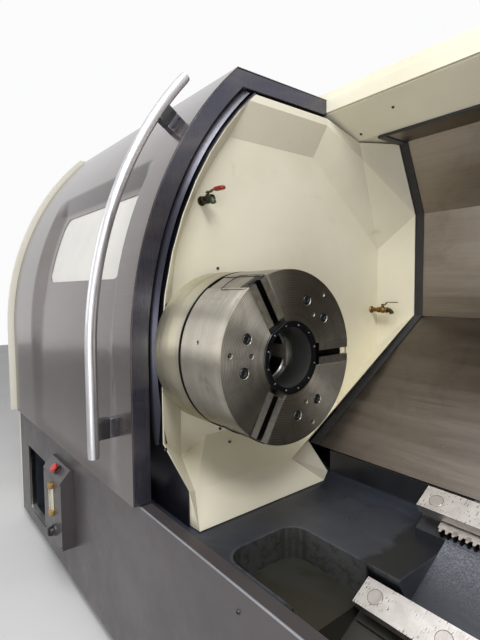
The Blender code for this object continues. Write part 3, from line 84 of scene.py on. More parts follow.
# The photograph's point of view from the datum, its turn in degrees and its lens in millimetres
EYE = np.array((1.116, -1.109, 0.236))
VIEW_TURN = (38.355, 3.839, -0.400)
LENS = 25.65
SENSOR = 36.0
PICTURE = (480.0, 640.0)

# The frame's directions: along the spindle, to the rear and up
ALONG = np.array((1.0, 0.0, 0.0))
REARWARD = np.array((0.0, 1.0, 0.0))
UP = np.array((0.0, 0.0, 1.0))
UPRIGHT = np.eye(3)


def tone(red, green, blue):
    """A paint-chart colour from 0 to 255 as linear light: ((c + 0.055) / 1.055) to the power 2.4."""
    chart = np.array((red, green, blue)) / 255.0
    linear = np.where(chart <= 0.04045, chart / 12.92, ((chart + 0.055) / 1.055) ** 2.4)
    return (*(float(c) for c in linear), 1.0)


def grey(level):
    """A grey of one linear level, which a mix takes as a colour."""
    return (level, level, level, 1.0)


# Surfaces

def xyz(x, y, z):
    """Three coordinates, each a number or an array, as points."""
    return np.stack(np.broadcast_arrays(x, y, z), axis=-1)


def surface(points, wrap_u=False, wrap_v=False):
    """A grid of points as quads: each cell joins a point to its neighbours in both parameters."""
    n, m = points.shape[:2]
    i, j = np.meshgrid(np.arange(n if wrap_u else n - 1), np.arange(m if wrap_v else m - 1), indexing="ij")
    k, l = (i + 1) % n, (j + 1) % m
    quads = np.stack([i * m + j, k * m + j, k * m + l, i * m + l], -1).reshape(-1, 4)
    return points.reshape(-1, 3), quads


def together(*shapes):
    """Several shapes as one: corners stacked, face numbers raised by the corners before them."""
    starts = np.cumsum([0] + [len(v) for v, _ in shapes[:-1]])
    return np.vstack([v for v, _ in shapes]), np.vstack([f + s for (_, f), s in zip(shapes, starts)])


def repeated(shape, origins, axes):
    """One shape at many places: point = origin + its three coordinates along that place's three axes."""
    corners, faces = shape
    origins = np.atleast_2d(origins)
    axes = np.broadcast_to(axes, (len(origins), 3, 3))
    placed = np.einsum("kij,ni->knj", axes, corners) + origins[:, None]
    shift = np.arange(len(origins))[:, None, None] * len(corners)
    return placed.reshape(-1, 3), (faces[None] + shift).reshape(-1, 4)


def axes_along(direction, side=(0.0, 0.0, 1.0)):
    """Three crossed unit axes; the third is the direction, the first is square to it and to the side."""
    third = np.array(direction, float) / np.linalg.norm(direction)
    first = np.cross(side, third)
    if np.linalg.norm(first) < 1e-6:
        first = np.cross((1.0, 0.0, 0.0), third)
    first /= np.linalg.norm(first)
    return np.array((first, np.cross(third, first), third))


def full_turn(steps):
    """A column of evenly spaced angles that goes once round."""
    return np.linspace(0.0, 2.0 * math.pi, steps, endpoint=False)[:, None]


def flats(a, count, distance):
    """The radius of an even-sided outline at angle a: its flats' distance over the cosine of the angle from
    the middle of the nearest flat."""
    half = math.pi / count
    return distance / np.cos((a + half) % (2.0 * half) - half)


def spun(radius, height, steps, closed=False):
    """Radii and heights turned about z: x = radius cos a, y = radius sin a, z = height. The radii may be one
    row for every angle, and a closed outline joins its last point to its first."""
    a = full_turn(steps)
    radius = radius + 0 * a
    points = xyz(radius * np.cos(a), radius * np.sin(a), height)
    return surface(points, wrap_u=True, wrap_v=closed)


def turned(profile, steps):
    """A profile of radius and height pairs turned about z."""
    return spun(*np.asarray(profile, float).T, steps)


def turned_ring(profile, steps):
    """A closed profile of radius and height pairs turned about z, its last point joined to its first."""
    return spun(*np.asarray(profile, float).T, steps, closed=True)


def capped(rings):
    """A tube of rings, each end closed by a fan to the middle, the mean, of its last ring."""
    first, last = (np.broadcast_to(rings[i].mean(axis=0), rings[:1].shape) for i in (0, -1))
    return surface(np.concatenate([first, rings, last]), wrap_v=True)


def shell(outer, inner, wrap_u=False):
    """Two matching grids as the two sides of a wall: across the outer one and back along the inner one. The
    rows that close its ends lie halfway between the two sides."""
    both = np.concatenate([outer, inner[:, ::-1]], axis=1)
    if wrap_u:
        return surface(both, wrap_u=True, wrap_v=True)
    halfway = (outer[[0, -1]] + inner[[0, -1]]) / 2.0
    ends = np.concatenate([halfway, halfway[:, ::-1]], axis=1)[:, None]
    return surface(np.concatenate([ends[0], both, ends[1]]), wrap_v=True)


def slab(grid, offset):
    """A patch thickened by one offset: the grid on one side, the grid plus the offset on the other."""
    return shell(grid + np.asarray(offset, float), grid)


def carried(path, loop, first, second, size=1.0):
    """A closed loop carried along a path: point = path + size times (loop's a times first + loop's b times
    second). Directions and size may be one for the whole path, or one for each of its points."""
    first, second = (np.broadcast_to(way, path.shape)[:, None] for way in (first, second))
    size = np.broadcast_to(size, len(path))[:, None, None]
    return capped(path[:, None] + size * (loop[None, :, :1] * first + loop[None, :, 1:] * second))


def circle(radius, steps):
    """Points of a circle: radius times the cosine and sine of evenly spaced angles."""
    a = full_turn(steps)[:, 0]
    return radius * np.stack([np.cos(a), np.sin(a)], -1)


def rounded_loop(x0, x1, y0, y1, radius, arc, side):
    """A rounded rectangle: a quarter circle at each corner, and points evenly spread along each side. The
    five sizes may be columns, which gives one loop for each row."""
    x0, x1, y0, y1, radius = (np.atleast_1d(np.asarray(v, float))[:, None] for v in (x0, x1, y0, y1, radius))
    loops = []
    for k, (cx, cy) in enumerate(((x1, y1), (x0, y1), (x0, y0), (x1, y0))):
        a = math.pi / 2 * (k + np.linspace(0.0, 1.0, arc + 1))
        inset_x = cx - radius * np.sign(cx - (x0 + x1) / 2)
        inset_y = cy - radius * np.sign(cy - (y0 + y1) / 2)
        loops.append(np.stack([inset_x + radius * np.cos(a), inset_y + radius * np.sin(a)], -1))
    pieces = []
    for k in range(4):
        start, end = loops[k][:, -1:], loops[(k + 1) % 4][:, :1]
        share = np.linspace(0.0, 1.0, side + 1)[1:-1][None, :, None]
        pieces += [loops[k], start + (end - start) * share]
    return np.concatenate(pieces, axis=1)


def door_curve(radius, height):
    """The covers' section at a height: upright below the arc's centre, then a circle; its y and its outward
    normal."""
    z = np.asarray(height, float)
    rise = np.clip((z - ARC_Z) / radius, 0.0, 1.0)
    lean = np.sqrt(1.0 - rise * rise)
    return ARC_Y - radius * lean, xyz(0.0, -lean, rise)


def on_door(x, height, out):
    """A point on the door's curve at x and height, moved out along the curve's normal."""
    y, normal = door_curve(DOOR_R, height)
    return xyz(x, y, height) + normal * np.asarray(out, float)[..., None]


def slope_point(x, s, t):
    """A point over the slanted ways: s up the slope, t square to it."""
    y = WAY_Y + s * math.cos(SLANT) - t * math.sin(SLANT)
    z = WAY_Z + s * math.sin(SLANT) + t * math.cos(SLANT)
    return xyz(x, y, z)


SLOPE_OUT = np.array((0.0, -math.sin(SLANT), math.cos(SLANT)))


# Pieces

SAME_PLACE = 2e-6


def piece(name, shape, finish, body, stands_for=(), bevel=0.0, crease=32.0):
    """Puts a shape, measured from the datum, into the scene: merged, facing out, smooth up to the crease
    angle."""
    corners, faces = shape
    mesh = bpy.data.meshes.new(name)
    mesh.vertices.add(len(corners))
    mesh.vertices.foreach_set("co", (corners + DATUM).astype(np.float32).ravel())
    mesh.loops.add(faces.size)
    mesh.loops.foreach_set("vertex_index", faces.astype(np.int32).ravel())
    mesh.polygons.add(len(faces))
    mesh.polygons.foreach_set("loop_start", np.arange(0, faces.size, 4, dtype=np.int32))
    mesh.update(calc_edges=True)
    work = bmesh.new()
    work.from_mesh(mesh)
    bmesh.ops.remove_doubles(work, verts=work.verts, dist=SAME_PLACE)
    bmesh.ops.recalc_face_normals(work, faces=work.faces)
    work.to_mesh(mesh)
    work.free()
    mesh.materials.append(finish)
    obj = bpy.data.objects.new(name, mesh)
    bpy.context.scene.collection.objects.link(obj)
    mesh.shade_smooth()
    mesh.set_sharp_from_angle(angle=math.radians(crease))
    if bevel:
        edge = obj.modifiers.new("edge", 'BEVEL')
        edge.width = bevel
        edge.segments = 2
        edge.limit_method = 'ANGLE'
        edge.angle_limit = math.radians(crease)
        edge.harden_normals = True
    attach(obj, body)
    if stands_for:
        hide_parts(*stands_for)
    return obj


# Finishes

class Value:
    """An output of a node. Arithmetic on it adds Math nodes to the finish that it belongs to."""

    def __init__(self, finish, socket):
        """Keeps the finish being wired and the output."""
        self.finish = finish
        self.socket = socket

    def __add__(self, other):
        """This plus the other."""
        return self.finish.calc('ADD', self, other)

    def __sub__(self, other):
        """This less the other."""
        return self.finish.calc('SUBTRACT', self, other)

    def __mul__(self, other):
        """This times the other."""
        return self.finish.calc('MULTIPLY', self, other)

    def __abs__(self):
        """This without its sign."""
        return self.finish.calc('ABSOLUTE', self)


class Finish:
    """A node material being wired, on the piece's Object coordinates."""

    def __init__(self, name, **sockets):
        """Makes the material; each socket is a constant on its shader, an underscore standing for a space."""
        self.material = bpy.data.materials.new(name)
        self.material.use_nodes = True
        self.tree = self.material.node_tree
        self.shader = self.tree.nodes["Principled BSDF"]
        self.place = Value(self, self.node("ShaderNodeTexCoord").outputs["Object"])
        for socket, value in sockets.items():
            self.shader.inputs[socket.replace("_", " ")].default_value = value

    def node(self, kind, **settings):
        """A new node of a kind, with its settings."""
        made = self.tree.nodes.new(kind)
        for key, value in settings.items():
            setattr(made, key, value)
        return made

    def feed(self, socket, value):
        """Links a value to a socket, or writes a plain number or colour into it."""
        if isinstance(value, Value):
            self.tree.links.new(value.socket, socket)
        else:
            socket.default_value = value

    def moved(self, scale, turn=(0.0, 0.0, 0.0)):
        """Object coordinates measured from the datum, turned and then stretched by a scale on each axis."""
        centre = self.node("ShaderNodeMapping")
        self.feed(centre.inputs["Vector"], self.place)
        centre.inputs["Location"].default_value = -DATUM
        stretch = self.node("ShaderNodeMapping")
        self.feed(stretch.inputs["Vector"], Value(self, centre.outputs["Vector"]))
        stretch.inputs["Rotation"].default_value = turn
        second = self.node("ShaderNodeVectorMath", operation='MULTIPLY')
        self.feed(second.inputs[0], Value(self, stretch.outputs["Vector"]))
        second.inputs[1].default_value = scale
        return Value(self, second.outputs["Vector"])

    def noise(self, scale, detail=4.0, rough=0.55, at=None, warp=0.0):
        """Noise of a scale at a place, or at the piece's own coordinates where none is given."""
        made = self.node("ShaderNodeTexNoise")
        self.feed(made.inputs["Vector"], self.place if at is None else at)
        made.inputs["Scale"].default_value = scale
        made.inputs["Detail"].default_value = detail
        made.inputs["Roughness"].default_value = rough
        made.inputs["Distortion"].default_value = warp
        return Value(self, made.outputs["Fac"])

    def cells(self, at):
        """The eased distance from a place to the nearest of many scattered points."""
        made = self.node("ShaderNodeTexVoronoi", feature='SMOOTH_F1')
        self.feed(made.inputs["Vector"], at)
        made.inputs["Scale"].default_value = 1.0
        return Value(self, made.outputs["Distance"])

    def calc(self, operation, a, b=0.0):
        """One Math node: the operation on a, or on a and b."""
        made = self.node("ShaderNodeMath", operation=operation)
        for socket, value in zip(made.inputs, (a, b)):
            self.feed(socket, value)
        return Value(self, made.outputs[0])

    def measured(self, turn=(0.0, 0.0, 0.0)):
        """The place's x, y and z in metres from the datum, after a turn."""
        made = self.node("ShaderNodeSeparateXYZ")
        self.feed(made.inputs[0], self.moved((1.0, 1.0, 1.0), turn))
        return [Value(self, made.outputs[i]) for i in range(3)]

    def join(self, x, y, z):
        """Three values as one place."""
        made = self.node("ShaderNodeCombineXYZ")
        for socket, value in zip(made.inputs, (x, y, z)):
            self.feed(socket, value)
        return Value(self, made.outputs[0])

    def between(self, value, low, high, out_low=0.0, out_high=1.0):
        """The value's share of the way from low to high, eased at both ends, spread from out_low to
        out_high."""
        made = self.node("ShaderNodeMapRange", interpolation_type='SMOOTHSTEP')
        for socket, v in zip(made.inputs, (value, low, high, out_low, out_high)):
            self.feed(socket, v)
        return Value(self, made.outputs[0])

    def band(self, value, start, full, fading, end):
        """1 while the value is between full and fading, eased down to 0 at start and at end."""
        return self.between(value, start, full) * self.between(value, end, fading)

    def wave(self, value, pitch):
        """The sine of a value, once round for every pitch."""
        return self.calc('SINE', value * (2.0 * math.pi / pitch))

    def ramp(self, value, *stops):
        """A colour that follows the value from stop to stop, each stop a position and its colour."""
        made = self.node("ShaderNodeValToRGB")
        self.feed(made.inputs[0], value)
        while len(made.color_ramp.elements) < len(stops):
            made.color_ramp.elements.new(0.5)
        for element, (position, colour) in zip(made.color_ramp.elements, stops):
            element.position = position
            element.color = colour
        return Value(self, made.outputs["Color"])

    def mix(self, share, a, b):
        """Two colours mixed: a times (1 - share) + b times the share."""
        made = self.node("ShaderNodeMix", data_type='RGBA')
        self.feed(made.inputs[0], share)
        self.feed(made.inputs[6], a)
        self.feed(made.inputs[7], b)
        return Value(self, made.outputs[2])

    def done(self, colour, rough, bump=None, strength=0.2, distance=0.001):
        """Wires the colour, roughness and height into the shader and gives the material."""
        self.feed(self.shader.inputs["Base Color"], colour)
        self.feed(self.shader.inputs["Roughness"], rough)
        if bump is not None:
            made = self.node("ShaderNodeBump")
            made.inputs["Strength"].default_value = strength
            made.inputs["Distance"].default_value = distance
            self.feed(made.inputs["Height"], bump)
            self.feed(self.shader.inputs["Normal"], Value(self, made.outputs["Normal"]))
        return self.material


def painted(name, light, dark, rough, peel=0.12, coat=0.0, grime=None):
    """Sprayed paint: slow cloudy shifts of tone, faint dust, and the fine peel of a sprayed coat."""
    f = Finish(name, Coat_Weight=coat, Coat_Roughness=0.12)
    cloud = f.noise(1.7, 5.0)
    colour = f.ramp(cloud, (0.30, dark), (0.62, light))
    if grime:
        dust = f.between(f.noise(9.0, 8.0, 0.7), 0.60, 0.80, 0.0, 0.5)
        colour = f.mix(dust, colour, grime)
    shine = f.between(f.noise(6.0, 6.0, 0.65), 0.3, 0.7, rough * 0.82, rough * 1.2)
    skin = f.noise(420.0, 2.0) + f.noise(60.0, 3.0) * 0.6
    return f.done(colour, shine, skin, peel, 0.0006)


def brushed(name, light, dark, scale, rough, blotch=0.25, grain=0.15, tint=None):
    """Brushed metal: fine streaks along one way, over slow smears where it has been wiped."""
    f = Finish(name, Metallic=1.0)
    streak = f.noise(1.0, 6.0, 0.75, f.moved(scale))
    broad = f.noise(1.0, 3.0, 0.5, f.moved([s * 0.12 for s in scale]))
    smear = f.noise(2.3, 6.0, 0.6, warp=0.6)
    colour = f.ramp(streak, (0.25, dark), (0.75, light))
    stain = f.between(smear, 0.42, 0.68, 0.0, blotch)
    colour = f.mix(stain, colour, tint or dark)
    shine = f.between(broad, 0.3, 0.7, rough * 0.75, rough * 1.25) + smear * 0.08
    return f.done(colour, shine, streak, grain, 0.0004)


CREAM = tone(233, 228, 208)
CREAM_DIM = tone(221, 215, 193)
cream_paint = painted("cream paint", CREAM, CREAM_DIM, 0.38, 0.10, coat=0.15, grime=tone(196, 188, 164))
cover_paint = painted("outer cream paint", tone(228, 224, 210), tone(216, 211, 194), 0.42, 0.14,
                      grime=tone(190, 184, 168))
dark_paint = painted("dark grey paint", tone(74, 69, 70), tone(60, 56, 58), 0.38, 0.05, coat=0.1,
                     grime=tone(90, 86, 84))
slate_paint = painted("slate casting paint", tone(66, 70, 80), tone(50, 54, 64), 0.40, 0.30,
                      grime=tone(86, 86, 86))
motor_paint = painted("motor grey", tone(98, 101, 104), tone(82, 85, 90), 0.45, 0.20,
                      grime=tone(120, 118, 112))
black_plastic = painted("black plastic", tone(38, 38, 40), tone(26, 26, 28), 0.42, 0.25)
red_plastic = painted("red plastic", tone(206, 52, 40), tone(176, 34, 28), 0.35, 0.15, coat=0.3)
green_plastic = painted("green plastic", tone(40, 108, 72), tone(28, 84, 54), 0.40, 0.15)
gauge_white = painted("gauge back", tone(236, 234, 226), tone(222, 218, 206), 0.45, 0.05)
handle_dark = painted("bracket paint", tone(48, 50, 58), tone(36, 38, 45), 0.35, 0.15, coat=0.3)

satin_tube = brushed("satin tube", tone(212, 211, 213), tone(188, 187, 190), (9.0, 260.0, 26.0), 0.34, 0.12,
                     0.05)
machined = brushed("machined steel", tone(168, 164, 158), tone(132, 128, 122), (40.0, 300.0, 300.0), 0.30,
                   0.30, 0.12, tone(120, 112, 98))
spindle_steel = brushed("ground spindle steel", tone(182, 179, 172), tone(150, 146, 138),
                        (600.0, 20.0, 20.0), 0.24, 0.2, 0.08)
brass = brushed("brass", tone(190, 158, 98), tone(146, 116, 66), (220.0, 60.0, 60.0), 0.34, 0.4, 0.15,
                tone(104, 88, 56))
nickel = brushed("nickel plate", tone(188, 186, 180), tone(150, 148, 142), (80.0, 80.0, 240.0), 0.25, 0.3,
                 0.1)


def hairline_door(name, light, dark, rough, coat, across, bends=0.0):
    """The door's dark sheet: a hairline grain, slow smears of wiping, and a clear coat over it. Where the
    window panel is pressed in, its sloped edges are painted darker by the share given, as painted shade."""
    f = Finish(name, Metallic=0.75, Coat_Weight=coat, Coat_Roughness=0.10)
    grain = f.noise(1.0, 6.0, 0.8, f.moved(across))
    smear = f.noise(1.6, 7.0, 0.62, f.moved((1.0, 1.0, 2.4)), 0.8)
    colour = f.ramp(grain, (0.2, dark), (0.8, light))
    colour = f.mix(f.between(smear, 0.35, 0.70, 0.0, 0.30), colour, tone(132, 124, 118))
    x, _, z = f.measured()
    # Painted shade: the pressed panel's slopes above and beside the glass are darkened by the share given.
    above = f.band(z, 0.666, 0.680, 0.771, 0.779) * f.band(x, -1.760, -1.700, -0.616, -0.604)
    beside = f.band(x, -0.656, -0.646, -0.604, -0.596) * f.band(z, -0.30, 0.30, 0.765, 0.775)
    pressed = f.calc('MAXIMUM', above, beside) * bends
    colour = f.mix(pressed, colour, tone(40, 37, 39))
    shine = f.between(grain, 0.3, 0.7, rough * 0.85, rough * 1.15) + smear * 0.1
    return f.done(colour, shine, grain, 0.07, 0.0004)


skin_finish = hairline_door("door hairline", tone(124, 117, 114), tone(92, 86, 84), 0.19, 0.35,
                            (6.0, 120.0, 220.0), 0.62)
cover_skin = hairline_door("cover hairline", tone(116, 110, 107), tone(104, 98, 96), 0.26, 0.35,
                           (5.0, 300.0, 420.0))
flange_finish = hairline_door("flange hairline", tone(84, 84, 98), tone(60, 60, 72), 0.24, 0.30,
                              (300.0, 300.0, 5.0))


def rim_sheet():
    """The fixed hood's rim: dark paint below, and on the stretch that leans back at the top a lighter brushed
    colour, which is a painted highlight."""
    f = Finish("hood rim sheet", Metallic=0.8)
    grain = f.noise(1.0, 6.0, 0.8, f.moved((160.0, 160.0, 5.0)))
    # bare marks the top stretch, whose lighter colour is a painted highlight.
    bare = f.between(f.measured()[2], 0.60, 0.86)
    dark = f.ramp(grain, (0.2, tone(34, 34, 42)), (0.8, tone(54, 54, 64)))
    bright = f.ramp(grain, (0.25, tone(84, 84, 92)), (0.75, tone(132, 132, 140)))
    colour = f.mix(bare, dark, bright)
    return f.done(colour, f.mix(bare, grey(0.30), grey(0.42)), grain, 0.07, 0.0004)


rim_finish = rim_sheet()


def chuck_steel(name, light, dark, rough):
    """Turned steel: rings that follow the distance from the spindle axis, and bands along it. The face's ring
    valleys and the groove's edges are painted darker as shade, and the back is painted lighter towards cream
    as a reflection of the lit wall.
    """
    f = Finish(name, Metallic=1.0, Anisotropic=0.85, Anisotropic_Rotation=0.25)
    around = f.node("ShaderNodeTangent", direction_type='RADIAL', axis='X')
    f.feed(f.shader.inputs["Tangent"], Value(f, around.outputs["Tangent"]))
    x, y, z = f.measured()
    radius = f.calc('SQRT', y * y + z * z)
    angle = f.calc('ARCTAN2', z, y)
    fine = f.noise(1.0, 4.0, 0.7, f.join(x * 520.0, radius * 520.0, angle * 1.5))
    broad = f.noise(1.0, 3.0, 0.6, f.join(x * 26.0, radius * 26.0, 0.0))
    rings = f.wave(radius, 0.0058)
    on_face = f.between(x, -0.0006, -0.0001)
    beyond = f.between(radius, 0.142, 0.150)
    cut = rings * on_face * beyond
    smear = f.noise(7.0, 7.0, 0.62, warp=0.8)
    colour = f.ramp(fine, (0.25, dark), (0.75, light))
    colour = f.mix(f.between(broad, 0.35, 0.65, 0.0, 0.28), colour, tone(142, 134, 118))
    colour = f.mix(f.between(smear, 0.5, 0.7, 0.0, 0.35), colour, tone(88, 84, 80))
    # Painted reflection: behind x = -0.225 the steel is lightened towards the lit cream wall's colour.
    colour = f.mix(f.between(x, -0.225, -0.300, 0.0, 0.55), colour, tone(206, 200, 172))
    # Painted shade: the steel beside the groove between body and back plate is darkened to near black.
    groove = f.between(abs(x - GROOVE_X), GROOVE_W * 0.62, GROOVE_W * 0.78, 0.92, 0.0)
    colour = f.mix(groove, colour, tone(24, 22, 20))
    colour = f.mix(on_face * 0.1, colour, tone(70, 66, 62))
    # Painted shade: the valleys of the face's rings are darkened.
    colour = f.mix(f.between(cut, -1.0, -0.1, 0.55, 0.0), colour, tone(52, 50, 50))
    shine = f.between(fine, 0.3, 0.7, rough * 0.8, rough * 1.2) + smear * 0.14
    shine = shine + on_face * 0.14
    height = cut * 0.5 + fine * 0.35
    return f.done(colour, shine, height, 0.35, 0.0008)


chuck_finish = chuck_steel("turned chuck steel", tone(182, 177, 165), tone(146, 141, 131), 0.30)


def jaw_steel():
    """Ground jaw steel: streaks along the radius, painted dark below the face as shade inside the slots."""
    f = Finish("ground jaw steel", Metallic=1.0)
    streak = f.noise(1.0, 5.0, 0.7, f.moved((300.0, 60.0, 60.0)))
    speck = f.noise(90.0, 6.0, 0.7)
    colour = f.ramp(streak, (0.25, tone(190, 187, 179)), (0.75, tone(226, 223, 214)))
    colour = f.mix(f.between(speck, 0.5, 0.75, 0.0, 0.3), colour, tone(138, 132, 124))
    # Painted shade: below the face, inside the slots, the jaws are darkened to near black.
    colour = f.mix(f.between(f.measured()[0], -0.0035, -0.0008, 0.93, 0.0), colour, tone(30, 28, 26))
    return f.done(colour, f.between(streak, 0.3, 0.7, 0.28, 0.42), streak, 0.12, 0.0004)


def blued_steel(name, rough=0.34):
    """Blacked steel: a deep oxide that thins to grey in fine scratches."""
    f = Finish(name, Metallic=0.9)
    wear = f.noise(60.0, 8.0, 0.7, warp=0.5)
    scratch = f.noise(1.0, 4.0, 0.8, f.moved((900.0, 40.0, 40.0)))
    colour = f.ramp(wear, (0.35, tone(56, 58, 62)), (0.75, tone(86, 88, 90)))
    colour = f.mix(f.between(scratch, 0.62, 0.8, 0.0, 0.4), colour, tone(120, 120, 118))
    return f.done(colour, f.between(wear, 0.3, 0.7, rough * 0.8, rough * 1.3), scratch, 0.10, 0.0003)


def bush_steel():
    """The centre bush: blacked on its front ring, and bored bare steel behind that."""
    f = Finish("bored bush steel", Metallic=0.95)
    rings = f.noise(1.0, 5.0, 0.7, f.moved((420.0, 12.0, 12.0)))
    bare = f.ramp(rings, (0.25, tone(104, 105, 104)), (0.75, tone(140, 140, 138)))
    black = f.ramp(rings, (0.25, tone(44, 46, 49)), (0.75, tone(66, 68, 71)))
    front = f.between(f.measured()[0], -0.0075, -0.0045)
    return f.done(f.mix(front, bare, black), f.mix(front, grey(0.40), grey(0.34)), rings, 0.10, 0.0003)


jaw_finish = jaw_steel()
bush_finish = bush_steel()
jaw_bright = brushed("ground wedge steel", tone(196, 192, 184), tone(168, 163, 154), (60.0, 200.0, 200.0),
                     0.30, 0.2, 0.1)
blued = blued_steel("blacked steel")
screw_black = blued_steel("black screw steel", 0.40)
bore_steel = brushed("bored tube steel", tone(112, 112, 110), tone(84, 84, 82), (30.0, 260.0, 260.0), 0.34,
                     0.3, 0.12)


def scraped_way():
    """A hand-scraped way: short crescent flakes in rows across it, dull between, over a ground base."""
    f = Finish("scraped way steel", Metallic=1.0)
    x, y, _ = f.measured(turn=(-SLANT, 0.0, 0.0))
    wobble = f.noise(30.0, 3.0) * 0.012
    across = x + wobble
    flakes = f.cells(f.join(across * 150.0, y * 85.0, 0.0))
    rows = f.between(f.wave(across, 0.0095), -0.2, 0.6)
    here = f.between(f.noise(14.0, 4.0, 0.6), 0.36, 0.52)
    mark = f.between(flakes, 0.15, 0.45, 1.0, 0.0) * rows * here
    pits = f.between(f.noise(240.0, 6.0, 0.75), 0.52, 0.72)
    colour = f.ramp(f.noise(20.0, 6.0, 0.6), (0.3, tone(186, 181, 178)), (0.7, tone(214, 210, 206)))
    colour = f.mix(pits * 0.35, colour, tone(150, 140, 132))
    colour = f.mix(mark * 0.6, colour, tone(138, 131, 127))
    shine = f.between(mark, 0.0, 1.0, 0.42, 0.24)
    return f.done(colour, shine, pits - mark, 0.25, 0.0006)


way_finish = scraped_way()


def bed_casting():
    """The bed: slate paint, worn bright round the trough's edge, darker where it is wet, a painted highlight
    of glints on the upper slope past x 0.4, an upright face at the back painted near black as shade, and a
    raw casting inside."""
    f = Finish("bed casting", Coat_Weight=0.08, Coat_Roughness=0.2)
    x, y, z = f.measured()
    x0, x1, y0, y1 = TROUGH
    dx = abs(x - (x0 + x1) / 2) - ((x1 - x0) / 2 - TROUGH_CORNER)
    dy = abs(y - (y0 + y1) / 2) - ((y1 - y0) / 2 - TROUGH_CORNER)
    px, py = f.calc('MAXIMUM', dx, 0.0), f.calc('MAXIMUM', dy, 0.0)
    away = f.calc('SQRT', px * px + py * py)
    inside = f.calc('MINIMUM', f.calc('MAXIMUM', dx, dy), 0.0)
    edge = away + inside - TROUGH_CORNER
    paint = f.ramp(f.noise(2.6, 6.0, 0.6), (0.3, tone(40, 43, 52)), (0.7, tone(50, 54, 64)))
    streak = f.between(f.noise(1.0, 7.0, 0.7, f.moved((4.0, 12.0, 8.0)), 0.5), 0.5, 0.72, 0.0, 0.35)
    paint = f.mix(streak, paint, tone(72, 77, 88))
    # Painted highlight: glints and a pale bluish sheen on the upper part of the slope past x 0.4.
    glints = f.between(f.noise(210.0, 5.0, 0.7), 0.40, 0.70)
    highlight_reach = f.between(y, 0.1, 0.34) * (glints * 0.5 + 0.12)
    sheen = f.between(x, 0.399, 0.403) * highlight_reach
    paint = f.mix(sheen, paint, tone(176, 180, 190))
    wet_line = x + f.noise(7.0, 5.0, 0.6) * 0.16
    wet = f.between(wet_line, 0.325, 0.35) * f.between(x, 0.402, 0.395)
    paint = f.mix(wet * 0.95, paint, tone(17, 19, 23))
    # Painted shade: the upright face at y 0.5, above the bed top and short of x 0.4, is darkened to near
    # black.
    rear_face_shade = f.between(y, 0.498, 0.503) * f.between(z, -0.613, -0.606) * f.between(x, 0.402, 0.396)
    paint = f.mix(rear_face_shade * 0.85, paint, tone(15, 15, 17))
    casting = f.ramp(f.noise(5.0, 9.0, 0.68, warp=0.7), (0.28, tone(33, 33, 28)), (0.50, tone(38, 38, 32)),
                     (0.72, tone(45, 44, 37)))
    rust = f.between(f.noise(3.1, 8.0, 0.7, warp=1.2), 0.50, 0.66, 0.0, 0.30)
    casting = f.mix(rust, casting, tone(50, 40, 28))
    floor = f.between(z, TROUGH_FLOOR - 0.004, TROUGH_FLOOR + 0.006, 1.0, 0.0)
    pool = floor * f.between(f.noise(2.2, 6.0, 0.6, warp=0.5), 0.44, 0.56)
    casting = f.mix(pool * 0.75, casting, tone(36, 33, 20))
    below = f.between(z, BED_TOP - 0.004, BED_TOP - 0.001, 1.0, 0.0)
    below = below * f.between(edge, 0.001, 0.003, 1.0, 0.0)
    colour = f.mix(below, paint, casting)
    rim = f.between(abs(edge - 0.004), 0.0035, 0.006, 1.0, 0.0)
    worn = rim * f.between(f.noise(40.0, 5.0, 0.7), 0.35, 0.55)
    colour = f.mix(worn * 0.25, colour, tone(104, 106, 112))
    shine = f.mix(below, f.between(f.noise(8.0, 6.0), 0.3, 0.7, 0.26, 0.46),
                  f.between(pool, 0.0, 1.0, 0.70, 0.42))
    shine = f.mix(wet, shine, grey(0.50))
    rough_cast = f.noise(170.0, 8.0, 0.75) * below * 0.6
    height = rough_cast + f.noise(90.0, 4.0) * 0.5
    return f.done(colour, shine, height, 0.35, 0.0010)


bed_finish = bed_casting()


def rack_steel():
    """The rack: worn steel on its top face, and below that face, measured along the slope's normal, teeth
    painted dark as shade."""
    f = Finish("rack steel", Metallic=0.9)
    _, y, z = f.measured()
    height = y * float(SLOPE_OUT[1]) + z * float(SLOPE_OUT[2])
    grain = f.noise(1.0, 5.0, 0.7, f.moved((40.0, 260.0, 260.0)))
    worn = f.ramp(grain, (0.25, tone(150, 144, 138)), (0.75, tone(192, 186, 180)))
    shaded_teeth = f.ramp(grain, (0.25, tone(24, 22, 22)), (0.75, tone(44, 41, 40)))
    # Painted shade: below the top face the teeth are darkened.
    below = f.between(height, RACK_TOP - 0.0040, RACK_TOP - 0.0022, 1.0, 0.0)
    return f.done(f.mix(below, worn, shaded_teeth), f.between(grain, 0.3, 0.7, 0.34, 0.50), grain, 0.15, 0.0004)


rack_finish = rack_steel()


def guard_sheet(name, painted_shade):
    """Brushed stainless guards: level streaks, brown oil smears and wiped patches, darkened by one factor as
    painted shade.
    """
    f = Finish(name, Metallic=1.0, Anisotropic=0.4)
    streak = f.noise(1.0, 6.0, 0.8, f.moved((1.6, 420.0, 420.0)))
    bands = f.noise(1.0, 5.0, 0.7, f.moved((1.1, 14.0, 14.0)), 0.4)
    smear = f.noise(2.6, 8.0, 0.66, warp=1.0)
    colour = f.ramp(streak, (0.2, tone(126, 117, 110)), (0.8, tone(162, 153, 145)))
    colour = f.mix(f.between(bands, 0.40, 0.62, 0.0, 0.16), colour, tone(176, 168, 160))
    colour = f.mix(f.between(smear, 0.44, 0.72, 0.0, 0.40), colour, tone(100, 92, 86))
    colour = f.mix(painted_shade, colour, tone(40, 35, 31))
    shine = f.between(bands, 0.3, 0.7, 0.22, 0.36) + smear * 0.12
    return f.done(colour, shine, streak, 0.08, 0.0004)


guard_finish = guard_sheet("brushed stainless", 0.0)
# Painted shade: the lower guard is the same stainless, darkened below the chuck.
shaded_guard_finish = guard_sheet("shaded stainless", 0.45)


